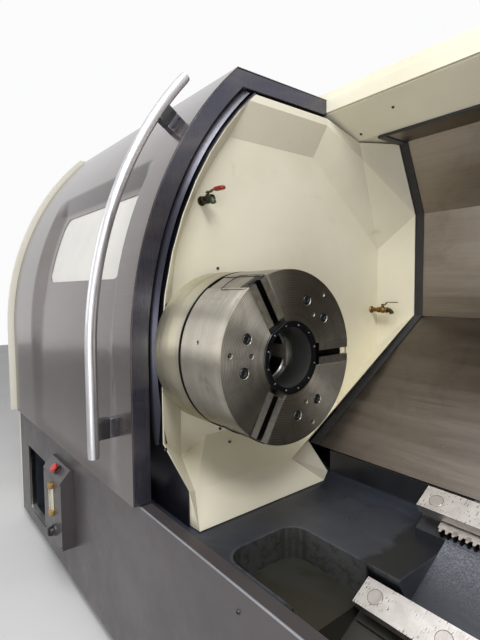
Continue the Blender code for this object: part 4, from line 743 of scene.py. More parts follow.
def rubber():
    """Black sealing rubber, dull, with a fine skin and grey dust."""
    f = Finish("black rubber", Sheen_Weight=0.15)
    dust = f.noise(30.0, 8.0, 0.7)
    colour = f.ramp(dust, (0.35, tone(20, 20, 21)), (0.8, tone(52, 51, 50)))
    return f.done(colour, f.between(dust, 0.3, 0.7, 0.55, 0.8), f.noise(300.0, 4.0), 0.3, 0.0004)


def ribbed_belt():
    """Belt rubber with a rib every few millimetres along the spindle, the valleys between the ribs painted
    darker as shade.
    """
    f = Finish("belt rubber")
    rib = f.wave(f.measured()[0], 0.006)
    dust = f.noise(40.0, 6.0, 0.7)
    colour = f.ramp(dust, (0.3, tone(28, 28, 29)), (0.8, tone(60, 58, 56)))
    # Painted shade: the valleys between the ribs are darkened.
    colour = f.mix(f.between(rib, -1.0, 0.0, 0.5, 0.0), colour, tone(10, 10, 10))
    return f.done(colour, f.between(dust, 0.3, 0.7, 0.5, 0.75), rib, 0.6, 0.001)


def window_sheet():
    """A pale polycarbonate window, faintly scratched and dusty, that lets some light through."""
    f = Finish("window sheet", Transmission_Weight=0.25, IOR=1.5, Coat_Weight=0.6, Coat_Roughness=0.05)
    haze = f.noise(3.0, 7.0, 0.6, warp=0.5)
    lines = f.noise(1.0, 5.0, 0.85, f.moved((8.0, 120.0, 40.0), turn=(0.4, 0.0, 0.5)))
    scratch = f.between(lines, 0.62, 0.78)
    colour = f.ramp(haze, (0.3, tone(222, 220, 212)), (0.7, tone(238, 236, 228)))
    colour = f.mix(scratch * 0.25, colour, tone(250, 250, 248))
    return f.done(colour, f.between(haze, 0.3, 0.7, 0.12, 0.22), scratch, 0.05, 0.0002)


gasket_finish = rubber()
belt_finish = ribbed_belt()
pane_finish = window_sheet()


def clear_tube():
    """The sight gauge's tube: clear, slightly yellowed, with faint streaks inside."""
    f = Finish("gauge tube", Transmission_Weight=0.7, IOR=1.45)
    streak = f.noise(1.0, 4.0, 0.6, f.moved((160.0, 160.0, 12.0)))
    return f.done(f.ramp(streak, (0.3, tone(226, 220, 190)), (0.7, tone(246, 244, 232))), 0.10, streak,
                  0.05, 0.0002)


glass = clear_tube()
valve_dark = brushed("oil-dark brass", tone(74, 68, 52), tone(44, 40, 30), (120.0, 80.0, 80.0), 0.38, 0.5,
                     0.15)
valve_olive = brushed("dull lever steel", tone(118, 112, 84), tone(80, 76, 56), (160.0, 60.0, 60.0), 0.36,
                      0.4, 0.15)
aged_brass = brushed("aged brass", tone(150, 118, 70), tone(104, 80, 46), (160.0, 60.0, 60.0), 0.36, 0.5, 0.2)
valve_green = painted("dark green plastic", tone(40, 62, 44), tone(28, 46, 32), 0.40, 0.15)
dip_red = painted("worn red dip", tone(150, 46, 34), tone(112, 32, 26), 0.42, 0.20, grime=tone(84, 60, 40))
# The sill edge's light grey is partly worn paint and partly a painted highlight.
worn_edge_highlight = painted("worn sill edge highlight", tone(136, 137, 142), tone(104, 104, 110), 0.32, 0.1, coat=0.2)
key_grey = painted("key grey", tone(176, 176, 172), tone(160, 160, 156), 0.45, 0.08)


def screen_sheet():
    """The panel's blank screen: near-black glass with faint wiping marks."""
    f = Finish("blank screen", Coat_Weight=0.8, Coat_Roughness=0.04)
    wipe = f.noise(5.0, 6.0, 0.6, warp=0.8)
    return f.done(f.ramp(wipe, (0.3, tone(18, 20, 23)), (0.7, tone(30, 32, 35))),
                  f.between(wipe, 0.3, 0.7, 0.12, 0.24))


screen_glass = screen_sheet()
plug_finish = brushed("ground plug steel", tone(206, 200, 196), tone(178, 172, 167), (260.0, 40.0, 40.0),
                      0.32, 0.25, 0.1)

FINISHES = (
    (bed_finish, "bed"),
    (way_finish, "front_way rear_way"),
    (rack_finish, "gear_rack"),
    (dark_paint, "front_apron service_box panel_bracket"),
    (slate_paint, "headstock saddle tailstock"),
    (cream_paint, "bulkhead roof_beam door_rail"),
    (cover_paint, "fixed_hood rear_cover cabinet_door left_end_cover right_end_cover"),
    (cover_paint, "turret_housing control_panel"),
    (cover_skin, "right_cover"),
    (motor_paint, "main_motor cross_servo feed_servo"),
    (spindle_steel, "spindle feed_screw quill live_centre"),
    (machined, "front_bearing rear_bearing spindle_pulley motor_pulley cross_slide turret_disc"),
    (belt_finish, "drive_belt"),
    (nickel, "clamping_cylinder front_valve_lever rear_valve_lever"),
    (brass, "sight_gauge front_valve rear_valve"),
    (red_plastic, "stop_button"),
    (black_plastic, "isolator_knob"),
    (chuck_finish, "chuck_backplate chuck_body"),
    (jaw_finish, "master_jaw_1 master_jaw_2 master_jaw_3"),
    (blued, "centre_ring"),
    (rim_finish, "hood_rim"),
    (guard_finish, "upper_guard rear_guard"),
    (shaded_guard_finish, "lower_guard"),
    (gasket_finish, "guard_gasket"),
    (skin_finish, "door_skin"),
    (flange_finish, "door_flange"),
    (pane_finish, "window_pane"),
    (satin_tube, "door_handle"),
    (handle_dark, "handle_bracket_lower handle_bracket_upper"),
)
for finish, names in FINISHES:
    for name in names.split():
        for place in nodes[name].material_slots:
            place.material = finish


# Chuck and spindle

def plate_place(radius, degrees, x):
    """A place on the chuck: x along the spindle, radius and angle round it, 0 to the rear."""
    a = np.radians(degrees)
    return xyz(x, radius * np.cos(a), radius * np.sin(a))


def about_spindle(shape):
    """A shape turned about z laid along the spindle: (x, y, z) becomes (z, x, y)."""
    corners, faces = shape
    return corners[:, [2, 0, 1]], faces


def bored(obj, shape):
    """Takes a closed shape, measured from the datum, out of a piece and keeps its finish."""
    corners, faces = shape
    mesh = bpy.data.meshes.new("bores")
    mesh.from_pydata((corners + DATUM).tolist(), [], faces.tolist())
    work = bmesh.new()
    work.from_mesh(mesh)
    bmesh.ops.remove_doubles(work, verts=work.verts, dist=SAME_PLACE)
    bmesh.ops.recalc_face_normals(work, faces=work.faces)
    work.to_mesh(mesh)
    work.free()
    tool = bpy.data.objects.new("bores", mesh)
    bpy.context.scene.collection.objects.link(tool)
    cut = obj.modifiers.new("bores", 'BOOLEAN')
    cut.object = tool
    cut.solver = 'EXACT'
    cut.use_self = False
    bpy.context.view_layer.update()
    result = bpy.data.meshes.new_from_object(obj.evaluated_get(bpy.context.evaluated_depsgraph_get()))
    obj.modifiers.remove(cut)
    obj.data = result
    result.shade_smooth()
    result.set_sharp_from_angle(angle=math.radians(32.0))
    bpy.data.objects.remove(tool)


def slotted(profile, slot):
    """A turned ring with three parallel-sided slots. At radius r the slot's edge of half width w stands at
    the angle asin(w / r) from its centre line, and between slots the angle is shared evenly. Along the
    spindle a point lies at its profile's x, or at the slot's floor where that is deeper."""
    radius, x = np.asarray(profile, float).T
    width, floor = np.asarray(slot, float).T
    width = np.concatenate([-width, width[::-1]])
    floor = np.concatenate([floor, floor[::-1]])
    share = np.linspace(0.0, 1.0, 37)[1:-1]
    rows = []
    for centre in JAW_ANGLES:
        start = np.radians(centre) + np.arcsin(width[:, None] / radius)
        rows.append(np.stack([start, np.minimum(x, floor[:, None])], -1))
        first = np.radians(centre) + np.arcsin(width[-1] / radius)
        last = np.radians(centre + 120.0) - np.arcsin(width[-1] / radius)
        between = first + (last - first) * share[:, None]
        rows.append(np.stack([between, np.broadcast_to(x, between.shape)], -1))
    grid = np.concatenate(rows)
    points = xyz(grid[..., 1], radius * np.cos(grid[..., 0]), radius * np.sin(grid[..., 0]))
    return surface(points, wrap_u=True, wrap_v=True)


def socketed(radii, sockets, levels, steps):
    """A screw's head about z: rings of the radii, then a six-sided socket with its flats at the sockets'
    distances, and the point that closes it."""
    a = full_turn(steps)
    rings = [np.array((0.0, *radii)) + 0 * a, flats(a, 6, np.array(sockets)), 0 * a]
    return spun(np.concatenate(rings, axis=1), levels, steps)


def screw_head(radius, height, socket):
    """A cap screw's head seen end on: a chamfered drum about z with a six-sided socket sunk in it."""
    levels = height * np.array((0.0, 0.0, 0.84, 1.0, 1.0, 0.93, 0.40, 0.30))
    return socketed((radius, radius, radius - height * 0.16), (socket * 1.10, socket, socket), levels, 48)


def make_chuck():
    """The chuck's body, its counterbored screws, back plate, slot seams, and the bush and tube in its
    bore."""
    r = CHUCK_R
    front = GROOVE_X + GROOVE_W / 2
    bore = RING_R + 0.0003
    body = [(bore, -0.1203), (bore, -0.050), (bore, -0.0008), (bore + 0.0008, 0.0), (r - 0.0035, 0.0),
            (r - 0.0008, -0.0012), (r, -0.0040), (r, -0.060), (r, -0.0980), (r - 0.0012, -0.0992),
            (r - 0.0012, front + 0.0012), (r - 0.0024, front), (BORE_R, front), (BORE_R, -0.1203)]
    slot = [(0.0409, 0.0), (0.0403, -0.0006), (0.0403, -0.0337), (0.0553, -0.0337), (0.0553, -0.0563)]
    chuck = piece("chuck_body_turned", slotted(body, slot), chuck_finish, "spindle_unit",
                  ("chuck_body",))
    face = axes_along(ALONG)
    screw_r, tap_rs, dot_r = 0.2115, (0.268, 0.181), 0.1145
    turns = np.array([a + t for a in JAW_ANGLES for t in (38.5, 68.5)])
    taps = np.array([a + 53.5 for a in JAW_ANGLES])
    sink = turned([(0.0, -0.014), (0.0180, -0.014), (0.0180, -0.0014), (0.0198, 0.0004), (0.0198, 0.004),
                   (0.0, 0.004)], 48)
    tap = turned([(0.0, -0.020), (0.0082, -0.020), (0.0082, -0.0016), (0.0104, 0.0004), (0.0104, 0.004),
                  (0.0, 0.004)], 36)
    bored(chuck, together(repeated(sink, plate_place(screw_r, turns, 0.0), face),
                          *(repeated(tap, plate_place(tap_r, taps, 0.0), face) for tap_r in tap_rs)))
    heads = repeated(screw_head(0.0150, 0.012, 0.0074), plate_place(screw_r, turns, -0.0136), face)
    piece("chuck_screws", heads, screw_black, "spindle_unit")
    back = CHUCK_BACK + 0.0003
    low, behind = r - 0.015, GROOVE_X - GROOVE_W / 2
    plate = [(BORE_R, back), (r - 0.006, back), (r - 0.0015, back + 0.002), (r, back + 0.006), (r, -0.330),
             (r - 0.0006, -0.3308), (r - 0.0006, behind - 0.0010), (r - 0.0016, behind), (low, behind),
             (low, front - 0.0003), (BORE_R, front - 0.0003)]
    piece("chuck_back_turned", about_spindle(turned_ring(plate, 180)), chuck_finish, "spindle_unit",
          ("chuck_backplate",))
    floor = [(low + 0.0002, behind + 0.0002), (low + 0.0006, behind + 0.0002), (low + 0.0006, front - 0.0005),
             (low + 0.0002, front - 0.0005)]
    piece("groove_shadow_ring", about_spindle(turned_ring(floor, 180)), screw_black, "spindle_unit")
    side = np.radians((168.0, 288.0, 48.0))
    out = xyz(0.0, np.cos(side), np.sin(side))
    port = turned([(0.0, -0.012), (0.0070, -0.012), (0.0070, -0.001), (0.0085, 0.001), (0.0085, 0.01),
                   (0.0, 0.01)], 24)
    bored(chuck, together(*(repeated(port, way * (r - 0.0012) - 0.135 * ALONG, axes_along(way))
                            for way in out)))
    seams = []
    for angle in JAW_ANGLES:
        loop = rounded_loop(-0.150, -0.012, -0.050, 0.050, 0.012, 6, 10)[0]
        a = np.radians(angle) + loop[:, 1] / r
        path = xyz(loop[:, 0], (r - 0.0009) * np.cos(a), (r - 0.0009) * np.sin(a))
        outward = xyz(0.0, np.cos(a), np.sin(a))
        along = np.roll(path, -1, axis=0) - np.roll(path, 1, axis=0)
        across = np.cross(along / np.linalg.norm(along, axis=1)[:, None], outward)
        ring = circle(0.0019, 8)
        rings = path[:, None] + ring[None, :, :1] * across[:, None] + ring[None, :, 1:] * outward[:, None]
        seams.append(surface(rings, wrap_u=True, wrap_v=True))
    piece("slot_end_seams", together(*seams), screw_black, "spindle_unit")
    around = full_turn(360)
    edge = np.minimum(RING_R, flats(around, 3, RING_FLAT))
    drum = np.array((RING_R, RING_R)) + 0 * around
    mouth = np.array((BORE_R + 0.0040, BORE_R + 0.0006, BORE_R, BORE_R)) + 0 * around
    levels = (-0.120, -0.0565, -0.0565, 0.0028, 0.004, 0.004, 0.0028, 0.0, -0.120)
    bush = spun(np.concatenate([drum, edge, edge, edge - 0.0012, mouth], axis=1), levels, 360, closed=True)
    piece("centre_bush", about_spindle(bush), bush_finish, "spindle_unit",
          ("centre_ring",), crease=25.0)
    turns = np.array([a + t for a in JAW_ANGLES for t in (15.0, 45.0, 75.0, 105.0)])
    dots = repeated(screw_head(0.0032, 0.0016, 0.0015), plate_place(dot_r, turns, 0.0039), face)
    piece("bush_screws", dots, nickel, "spindle_unit")
    tube = [(0.1046, -0.135), (0.0985, -0.1335), (0.0935, -0.138), (0.0935, -0.205), (0.0880, -0.210),
            (0.0880, -0.900), (0.1046, -0.900)]
    piece("draw_tube", about_spindle(turned_ring(tube, 120)), bore_steel, "spindle_unit")


make_chuck()


# Door

def door_skin():
    """The door's sheet: rings that grow from the window's rounded edge to the sheet's square edge, on the
    door's curve. It is sunk where the window panel is pressed in, with long slopes above and beside the
    glass, and the two sides of the sheet are the same surface moved by its thickness."""
    x0, x1, z0, z1 = WINDOW
    thick = 0.003
    share = np.concatenate([np.linspace(0.0, 0.30, 14)[:-1], np.linspace(0.30, 1.0, 26)])

    def grow(near, far):
        """Each ring's share of the way from the window to the sheet's edge."""
        return near + (far - near) * share

    rings = rounded_loop(grow(x0, DOOR_X0), grow(x1, DOOR_X1), grow(z0, DOOR_BOTTOM), grow(z1, DOOR_TOP),
                         grow(0.055, 0.0), 8, 40)
    x, z = rings[..., 0].T, rings[..., 1].T

    def ramp(value, low, high):
        """The value's share of the way from low to high, held between 0 and 1."""
        return np.clip((value - low) / (high - low), 0.0, 1.0)

    fade = ramp(z, -0.560, 0.250) * 0.75 + 0.25
    sides = ramp(x, -0.600, -0.650) * ramp(x, -1.800, -1.670) * ramp(z, -0.572, -0.540)
    depth = RECESS_DEPTH * fade * sides * ramp(z, 0.775, 0.675)
    outer, inner = on_door(x, z, -depth), on_door(x, z, -depth - thick)
    sheet = shell(outer, inner, wrap_u=True)
    y, _ = door_curve(DOOR_R, DOOR_TOP)
    u, v = np.meshgrid((DOOR_X0, DOOR_X1), np.linspace(float(y), BEAM_FRONT - 0.002, 8), indexing="ij")
    lid = slab(xyz(u, v, DOOR_TOP - thick), thick * UP)
    z = np.linspace(DOOR_BOTTOM, DOOR_TOP - thick, 60)
    hem_out, hem_in = on_door(DOOR_X0, z, -thick), on_door(DOOR_X0, z, -thick - FLANGE_DEPTH)
    hem = slab(np.stack([hem_out, hem_in]), thick * ALONG)
    piece("door_sheet", together(sheet, lid, hem), skin_finish, "door", ("door_skin",),
          crease=28.0)


def door_flange():
    """The door's front frame: a box section carried up the door's curve and back along its top, its outer
    corner mitred. Each ring of the section is the same loop between an outer and an inner line of the
    frame."""
    c, sheet, deep = 0.0022, 0.0033, 0.0033 + FLANGE_DEPTH

    def heights(top):
        """Levels up the door: ten up its upright foot, then seventy up its curve to the top."""
        return np.concatenate([np.linspace(DOOR_BOTTOM, ARC_Z, 10), np.linspace(ARC_Z, top, 70)[1:]])

    outer = on_door(0.0, heights(DOOR_TOP - sheet), -sheet)
    z_in = heights(DOOR_TOP - deep)
    inner = xyz(0.0, door_curve(DOOR_R - deep, z_in)[0], z_in)
    outer = np.vstack([outer, (0.0, DOOR_REAR, DOOR_TOP - sheet)])
    inner = np.vstack([inner, (0.0, DOOR_REAR, DOOR_TOP - deep)])
    far = DOOR_X1 - FLANGE_LEN
    width = np.linalg.norm(inner - outer, axis=1)[:, None, None]
    share = np.array((0.0, 1.0, 1.0, 1.0, 1.0, 0.0, 0.0, 0.0))[None, :, None]
    nudge = np.array((c, -c, 0.0, 0.0, -c, c, 0.0, 0.0))[None, :, None] / width
    x = np.array((far, far, far + c, DOOR_X1 - c, DOOR_X1, DOOR_X1, DOOR_X1 - c, far + c))
    points = outer[:, None] + (inner - outer)[:, None] * (share + nudge)
    points[..., 0] = x
    piece("door_front_frame", capped(points), flange_finish, "door", ("door_flange",),
          crease=28.0)


def door_pane():
    """The window's curved sheet, behind the pressed panel: the door's curve at two depths."""
    x0, x1, z0, z1 = WINDOW
    lap = 0.028
    u, v = np.meshgrid(np.linspace(x0 - lap, x1 + lap, 8), np.linspace(z0 - lap, z1 + lap, 40), indexing="ij")
    front, rear = (on_door(u, v, -RECESS_DEPTH - depth) for depth in (0.0036, 0.0096))
    piece("window_glazing", shell(front, rear), pane_finish, "door", ("window_pane",))


def door_wiper():
    """The strip on the hood's rim that closes the slot behind the door's frame: a narrow cone about the
    covers' centre line, y = ARC_Y - r cos a and z = ARC_Z + r sin a, r growing as it goes back."""
    a = np.radians(np.linspace(-13.0, 46.2, 92))[:, None]
    radius = np.array((1.5240, 1.5600, 1.5612, 1.5252))
    x = np.array((-0.4395, -0.4700, -0.4690, -0.4383))
    points = xyz(x, ARC_Y - radius * np.cos(a), ARC_Z + radius * np.sin(a))
    piece("rim_wiper", capped(points), rim_finish, "machine")


def door_handle():
    """The grab tube: a circle carried along an upright and then round the door's curve, its ends rounded
    in."""
    foot, bend, head = -0.405, -0.210, 1.125
    z = np.concatenate([np.linspace(foot, bend, 8), np.linspace(bend, head, 110)[1:]])
    y, _ = door_curve(DOOR_R + HANDLE_OFF, z)
    path = xyz(HANDLE_X, y, z)
    along = np.gradient(path, axis=0)
    along /= np.linalg.norm(along, axis=1)[:, None]
    size = np.ones(len(path))
    size[[0, -1]] = 0.93
    tube = carried(path, circle(HANDLE_R, 32), ALONG, np.cross(along, ALONG), size)
    piece("grab_tube", tube, satin_tube, "door", ("door_handle",))


def handle_bracket(name, node, height):
    """A bracket in two blocks between skin and tube: a painted foot, and a black cradle hollowed to the
    tube."""
    y, normal = door_curve(DOOR_R, height)
    normal = normal.reshape(3)
    seat = np.array((HANDLE_X, float(y), height))
    upward = np.cross(normal, ALONG)
    reach = HANDLE_OFF - HANDLE_R
    half = 0.040

    def block(near, far, half_x, half_a, hollow):
        """One block from near to far along the normal, its far end hollowed to the tube's circle if asked."""
        loop = rounded_loop(-half_x, half_x, -half_a, half_a, 0.004, 3, 6)[0]
        bowl = HANDLE_R - np.sqrt(HANDLE_R ** 2 - loop[:, 0] ** 2) if hollow else np.zeros(len(loop))
        levels = []
        for out, size in ((near, 0.94), (near + 0.0014, 1.0), (far - 0.0014, 1.0), (far, 0.96)):
            lift = out + (bowl if out > near + 0.002 else 0 * bowl)
            flat = loop * size
            levels.append(seat + flat[:, :1] * ALONG + flat[:, 1:] * upward + lift[:, None] * normal)
        return capped(np.stack(levels))

    foot = block(-0.0015, reach * 0.46, 0.0178, half - 0.001, False)
    cradle = block(reach * 0.46 + 0.0006, reach - 0.0004, 0.0180, half, True)
    piece(name + "_foot", foot, flange_finish, "door", (node,), crease=40.0)
    piece(name + "_cradle", cradle, black_plastic, "door", crease=40.0)
    spots = [seat + normal * (reach * t) + upward * side + 0.0172 * ALONG
             for t in (0.22, 0.70) for side in (-0.024, 0.024)]
    heads = repeated(screw_head(0.0042, 0.0034, 0.0020), np.array(spots), axes_along(ALONG))
    piece(name + "_screws", heads, screw_black, "door")


door_skin()
door_flange()
door_pane()
door_wiper()
door_handle()
handle_bracket("lower_bracket", "handle_bracket_lower", -0.296)
handle_bracket("upper_bracket", "handle_bracket_upper", 0.911)


# Small fasteners

def view_axes():
    """The photograph's level, upright and forward unit axes, from its yaw, pitch and roll."""
    yaw, pitch, roll = (math.radians(a) for a in VIEW_TURN)
    ahead = np.array((-math.cos(yaw) * math.cos(pitch), math.sin(yaw) * math.cos(pitch), -math.sin(pitch)))
    right = np.cross(ahead, UP)
    right /= np.linalg.norm(right)
    above = np.cross(right, ahead)
    level = math.cos(roll) * right + math.sin(roll) * above
    return level, -math.sin(roll) * right + math.cos(roll) * above, ahead


def met(node, start, aim):
    """Where a line from a start, along an aim, first meets a node: the place and its outward unit normal."""
    mesh = nodes[node].data
    tree = BVHTree.FromPolygons([v.co for v in mesh.vertices], [tuple(p.vertices) for p in mesh.polygons])
    place, normal, _, _ = tree.ray_cast(Vector(np.asarray(start) + DATUM), Vector(aim))
    if place is None:
        raise ValueError("no surface of %s there" % node)
    out = np.array(normal) * (-1.0 if normal.dot(Vector(aim)) > 0.0 else 1.0)
    return np.array(place) - DATUM, out / np.linalg.norm(out)


def sighted(node, across, down):
    """Where the line of sight through a picture point meets a node."""
    level, upright, ahead = view_axes()
    focal = LENS / SENSOR * PICTURE[1]
    aim = ahead + (across - PICTURE[0] / 2) / focal * level - (down - PICTURE[1] / 2) / focal * upright
    return met(node, EYE, aim)


def placed(shape, seats):
    """One shape about z set on several seats, each a place and a normal."""
    return together(*(repeated(shape, place, axes_along(out)) for place, out in seats))


def hexed(radius, low, high, chamfer=0.0012):
    """A hexagonal nut about z between two heights, as a six-step turned profile with chamfered corners."""
    return turned([(0.0, low), (radius - chamfer, low), (radius, low + chamfer), (radius, high - chamfer),
                   (radius - chamfer, high), (0.0, high)], 6)


def button_head(radius, height):
    """A round-headed screw about z: an eased quarter-round edge and a six-sided socket."""
    socket = radius * 0.42
    levels = height * np.array((-0.3, -0.3, 0.45, 0.90, 1.0, 0.45, 0.42))
    return socketed((radius, radius * 0.92, radius * 0.70), (socket, socket), levels, 24)


# Places in the photograph, in pixels across and down
WALL_SCREWS = ((217.7, 268.3), (166.0, 305.0), (220.0, 428.5), (229.5, 442.0))
RIM_SCREWS = ((165.5, 449.5),)
BEAM_SCREWS = ((337.7, 107.0), (361.0, 134.0), (393.0, 107.0))
APRON_SCREWS = ((238.5, 612.0),)


def make_fasteners():
    """Round-headed screws where the photograph shows them, seated on the sheet behind each."""
    head = button_head(0.0072, 0.0050)
    for name, node, spots in (("wall_screws", "bulkhead", WALL_SCREWS),
                              ("rim_screws", "hood_rim", RIM_SCREWS),
                              ("beam_screws", "roof_beam", BEAM_SCREWS),
                              ("apron_screws", "front_apron", APRON_SCREWS)):
        heads = placed(head, [sighted(node, *spot) for spot in spots])
        piece(name, heads, screw_black, "machine")


make_fasteners()


# Guard roof

ROOF_X0 = -0.284
ROOF_X1 = 1.395
ROOF_FRONT = 0.893
ROOF_REAR = 1.070
ROOF_Z = 0.9905


def make_guard_roof():
    """The enclosure's flat roof sheet behind the beam's nose, a black strip along the front that stands for
    the shade line under the beam's nose, and the gasket's top run at the end: patches thickened by one
    offset, and the strip carried along the spindle's direction."""
    u, v = np.meshgrid((ROOF_X0, ROOF_X1), (ROOF_FRONT, ROOF_REAR), indexing="ij")
    sheet = slab(xyz(u, v, ROOF_Z), 0.004 * UP)
    piece("guard_roof", sheet, guard_finish, "machine", bevel=0.0008)
    path = np.array(((ROOF_X0 - 0.002, ROOF_FRONT, ROOF_Z + 0.0005), (ROOF_X1, ROOF_FRONT, ROOF_Z + 0.0005)))
    # Painted shade: this black strip along the roof's front stands for the shadow line under the beam's nose.
    shadow_line_strip = rounded_loop(-0.0045, 0.0045, -0.0060, 0.0080, 0.003, 4, 3)[0]
    end = ROOF_X0 + 0.018
    across = np.array(((end, ROOF_FRONT - 0.004, ROOF_Z - 0.0005), (end, ROOF_REAR, ROOF_Z - 0.0005)))
    flat = rounded_loop(-0.0220, 0.0220, -0.0045, 0.0, 0.001, 3, 4)[0]
    seal_and_shadow_line = together(carried(path, shadow_line_strip, REARWARD, UP), carried(across, flat, ALONG, UP))
    piece("roof_seal_and_shadow_line", seal_and_shadow_line, gasket_finish, "machine")


make_guard_roof()


def sill_edge():
    """The worn edge along the front sill, its light grey partly worn paint and partly a painted highlight: a
    small circle carried along the sill's outer corner.
    """
    x = np.linspace(DOOR_X1 + 0.004, 1.398, 40)
    inset = 0.0024
    path = xyz(x, SILL_FRONT + inset, SILL_TOP - inset)
    roll = carried(path, circle(0.0036, 16), REARWARD, UP)
    piece("sill_edge", roll, worn_edge_highlight, "machine", crease=50.0)


sill_edge()


# Ways and rack

PLUG_X = np.arange(0.348, 2.52, 0.210)
PLUG_R = 0.0225


def make_way_plugs():
    """Round plugs over the bolts that hold the ways: a shallow disc in a dark ring, level with the way."""
    disc = turned([(0.0, -0.0030), (PLUG_R, -0.0030), (PLUG_R, 0.0000), (PLUG_R - 0.0008, 0.0006),
                   (0.0, 0.0006)], 48)
    ring = turned_ring([(PLUG_R + 0.0002, -0.003), (PLUG_R + 0.0012, -0.003), (PLUG_R + 0.0012, 0.0003),
                        (PLUG_R + 0.0002, 0.0003)], 48)
    turn = axes_along(SLOPE_OUT)
    for name, s in (("front_way_plugs", 0.045), ("rear_way_plugs", REAR_WAY_S + 0.041)):
        spots = slope_point(PLUG_X, s, 0.0)
        piece(name, repeated(disc, spots, turn), plug_finish, "machine", crease=25.0)
        piece(name + "_rings", repeated(ring, spots, turn), screw_black, "machine")
    seats = [met("gear_rack", slope_point(x, 0.372, 0.05), -SLOPE_OUT) for x in np.arange(0.433, 2.42, 0.042)]
    small = turned([(0.0, -0.002), (0.0085, -0.002), (0.0085, 0.0), (0.0078, 0.0006), (0.0, 0.0006)], 24)
    piece("rack_plugs", placed(small, seats), machined, "machine", crease=25.0)


make_way_plugs()


# Valves

def make_valve(name, at, length, metal, tip_finish, strip_finish, grip_finish, lever, swing):
    """A ball valve on the wall: a collar, hexagons each side of a round ball case, a gland nut and its stem,
    a bent lever under a nut, and a dipped grip. The lever's strip is a rounded loop carried along its bend.
    lever holds its turn in degrees, the height of its bend, and half the width and thickness of its grip."""
    lever_turn, bend, half_wide, half_thick = lever
    x0 = WALL_X + 0.0005
    mid = x0 + length * 0.55
    along = axes_along(ALONG)
    centre = np.array((0.0, *at))
    a = np.linspace(-1.15, 1.15, 15)
    ball = np.stack([0.0185 * np.cos(a), mid + 0.0195 * np.sin(a)], -1)
    case = turned([(0.0, x0 + 0.003), (0.0120, x0 + 0.003), (0.0120, mid - 0.020)] + [tuple(p) for p in ball]
                  + [(0.0115, mid + 0.020), (0.0115, x0 + length - 0.016), (0.0, x0 + length - 0.016)], 40)
    collar = turned([(0.0, x0), (0.0205, x0), (0.0205, x0 + 0.003), (0.0165, x0 + 0.008),
                     (0.0, x0 + 0.008)], 40)
    parts = [case, collar, hexed(0.0178, mid - 0.031, mid - 0.017), hexed(0.0178, mid + 0.017, mid + 0.031)]
    body = [repeated(part, centre, along) for part in parts]
    middle = centre + mid * ALONG
    gland = turned([(0.0, 0.0), (0.0100, 0.0), (0.0100, 0.018), (0.0, 0.018)], 24)
    stem = turned([(0.0, 0.018), (0.0050, 0.018), (0.0050, 0.030), (0.0, 0.030)], 20)
    body += [repeated(part, middle, UPRIGHT) for part in (gland, hexed(0.0108, 0.0165, 0.0215), stem)]
    piece(name + "_case", together(*body), metal, "machine", (name,), crease=30.0)
    sweep = np.radians(np.linspace(0.0, 70.0, 14))[:, None]
    reach = 0.030
    start = centre + (x0 + length - reach) * ALONG
    spout = start + reach * (np.sin(sweep) * ALONG - (1.0 - np.cos(sweep)) * UP)
    tip = carried(spout, circle(0.0118, 28), REARWARD, np.sin(sweep) * ALONG + np.cos(sweep) * UP)
    piece(name + "_tip", tip, tip_finish, "machine", crease=40.0)
    pivot = middle + 0.0263 * UP
    turn = math.radians(lever_turn)
    out = np.array((math.cos(turn), math.sin(turn), 0.0))
    across = np.array((-math.sin(turn), math.cos(turn), 0.0))
    run = np.linspace(-0.008, 0.093, 40)
    t = np.clip((run - 0.010) / 0.022, 0.0, 1.0)
    rise = 0.0012 + bend * t * t * (3.0 - 2.0 * t)
    path = pivot + run[:, None] * out + rise[:, None] * UP
    strip = carried(path, rounded_loop(-0.0085, 0.0085, -0.0014, 0.0014, 0.0012, 3, 3)[0], across, UP)
    cap = hexed(0.0080, 0.0022, 0.0076, 0.0008)
    piece(name + "_strip", together(strip, repeated(cap, pivot, UPRIGHT)), strip_finish, swing,
          (name + "_lever",), crease=30.0)
    share = np.linspace(0.0, 1.0, 26)
    swell = np.sqrt(np.clip(1.0 - np.abs(2.0 * share - 1.0) ** 9, 0.02, 1.0))
    loop = rounded_loop(-half_wide, half_wide, -half_thick, half_thick, half_thick * 0.9, 5, 4)[0]
    seat = pivot + (0.040 + 0.0565 * share)[:, None] * out + (0.0012 + bend) * UP
    piece(name + "_dip", carried(seat, loop, across, UP, swell), grip_finish, swing, crease=45.0)


make_valve("front_valve", (-0.018, 0.610), 0.090, valve_dark, valve_green, valve_olive, dip_red,
           (8.0, 0.0075, 0.0125, 0.0085), "front_lever")
make_valve("rear_valve", (1.180, 0.112), 0.140, aged_brass, valve_dark, valve_olive, valve_olive,
           (0.0, 0.0170, 0.0100, 0.0024), "rear_lever")


# Service box

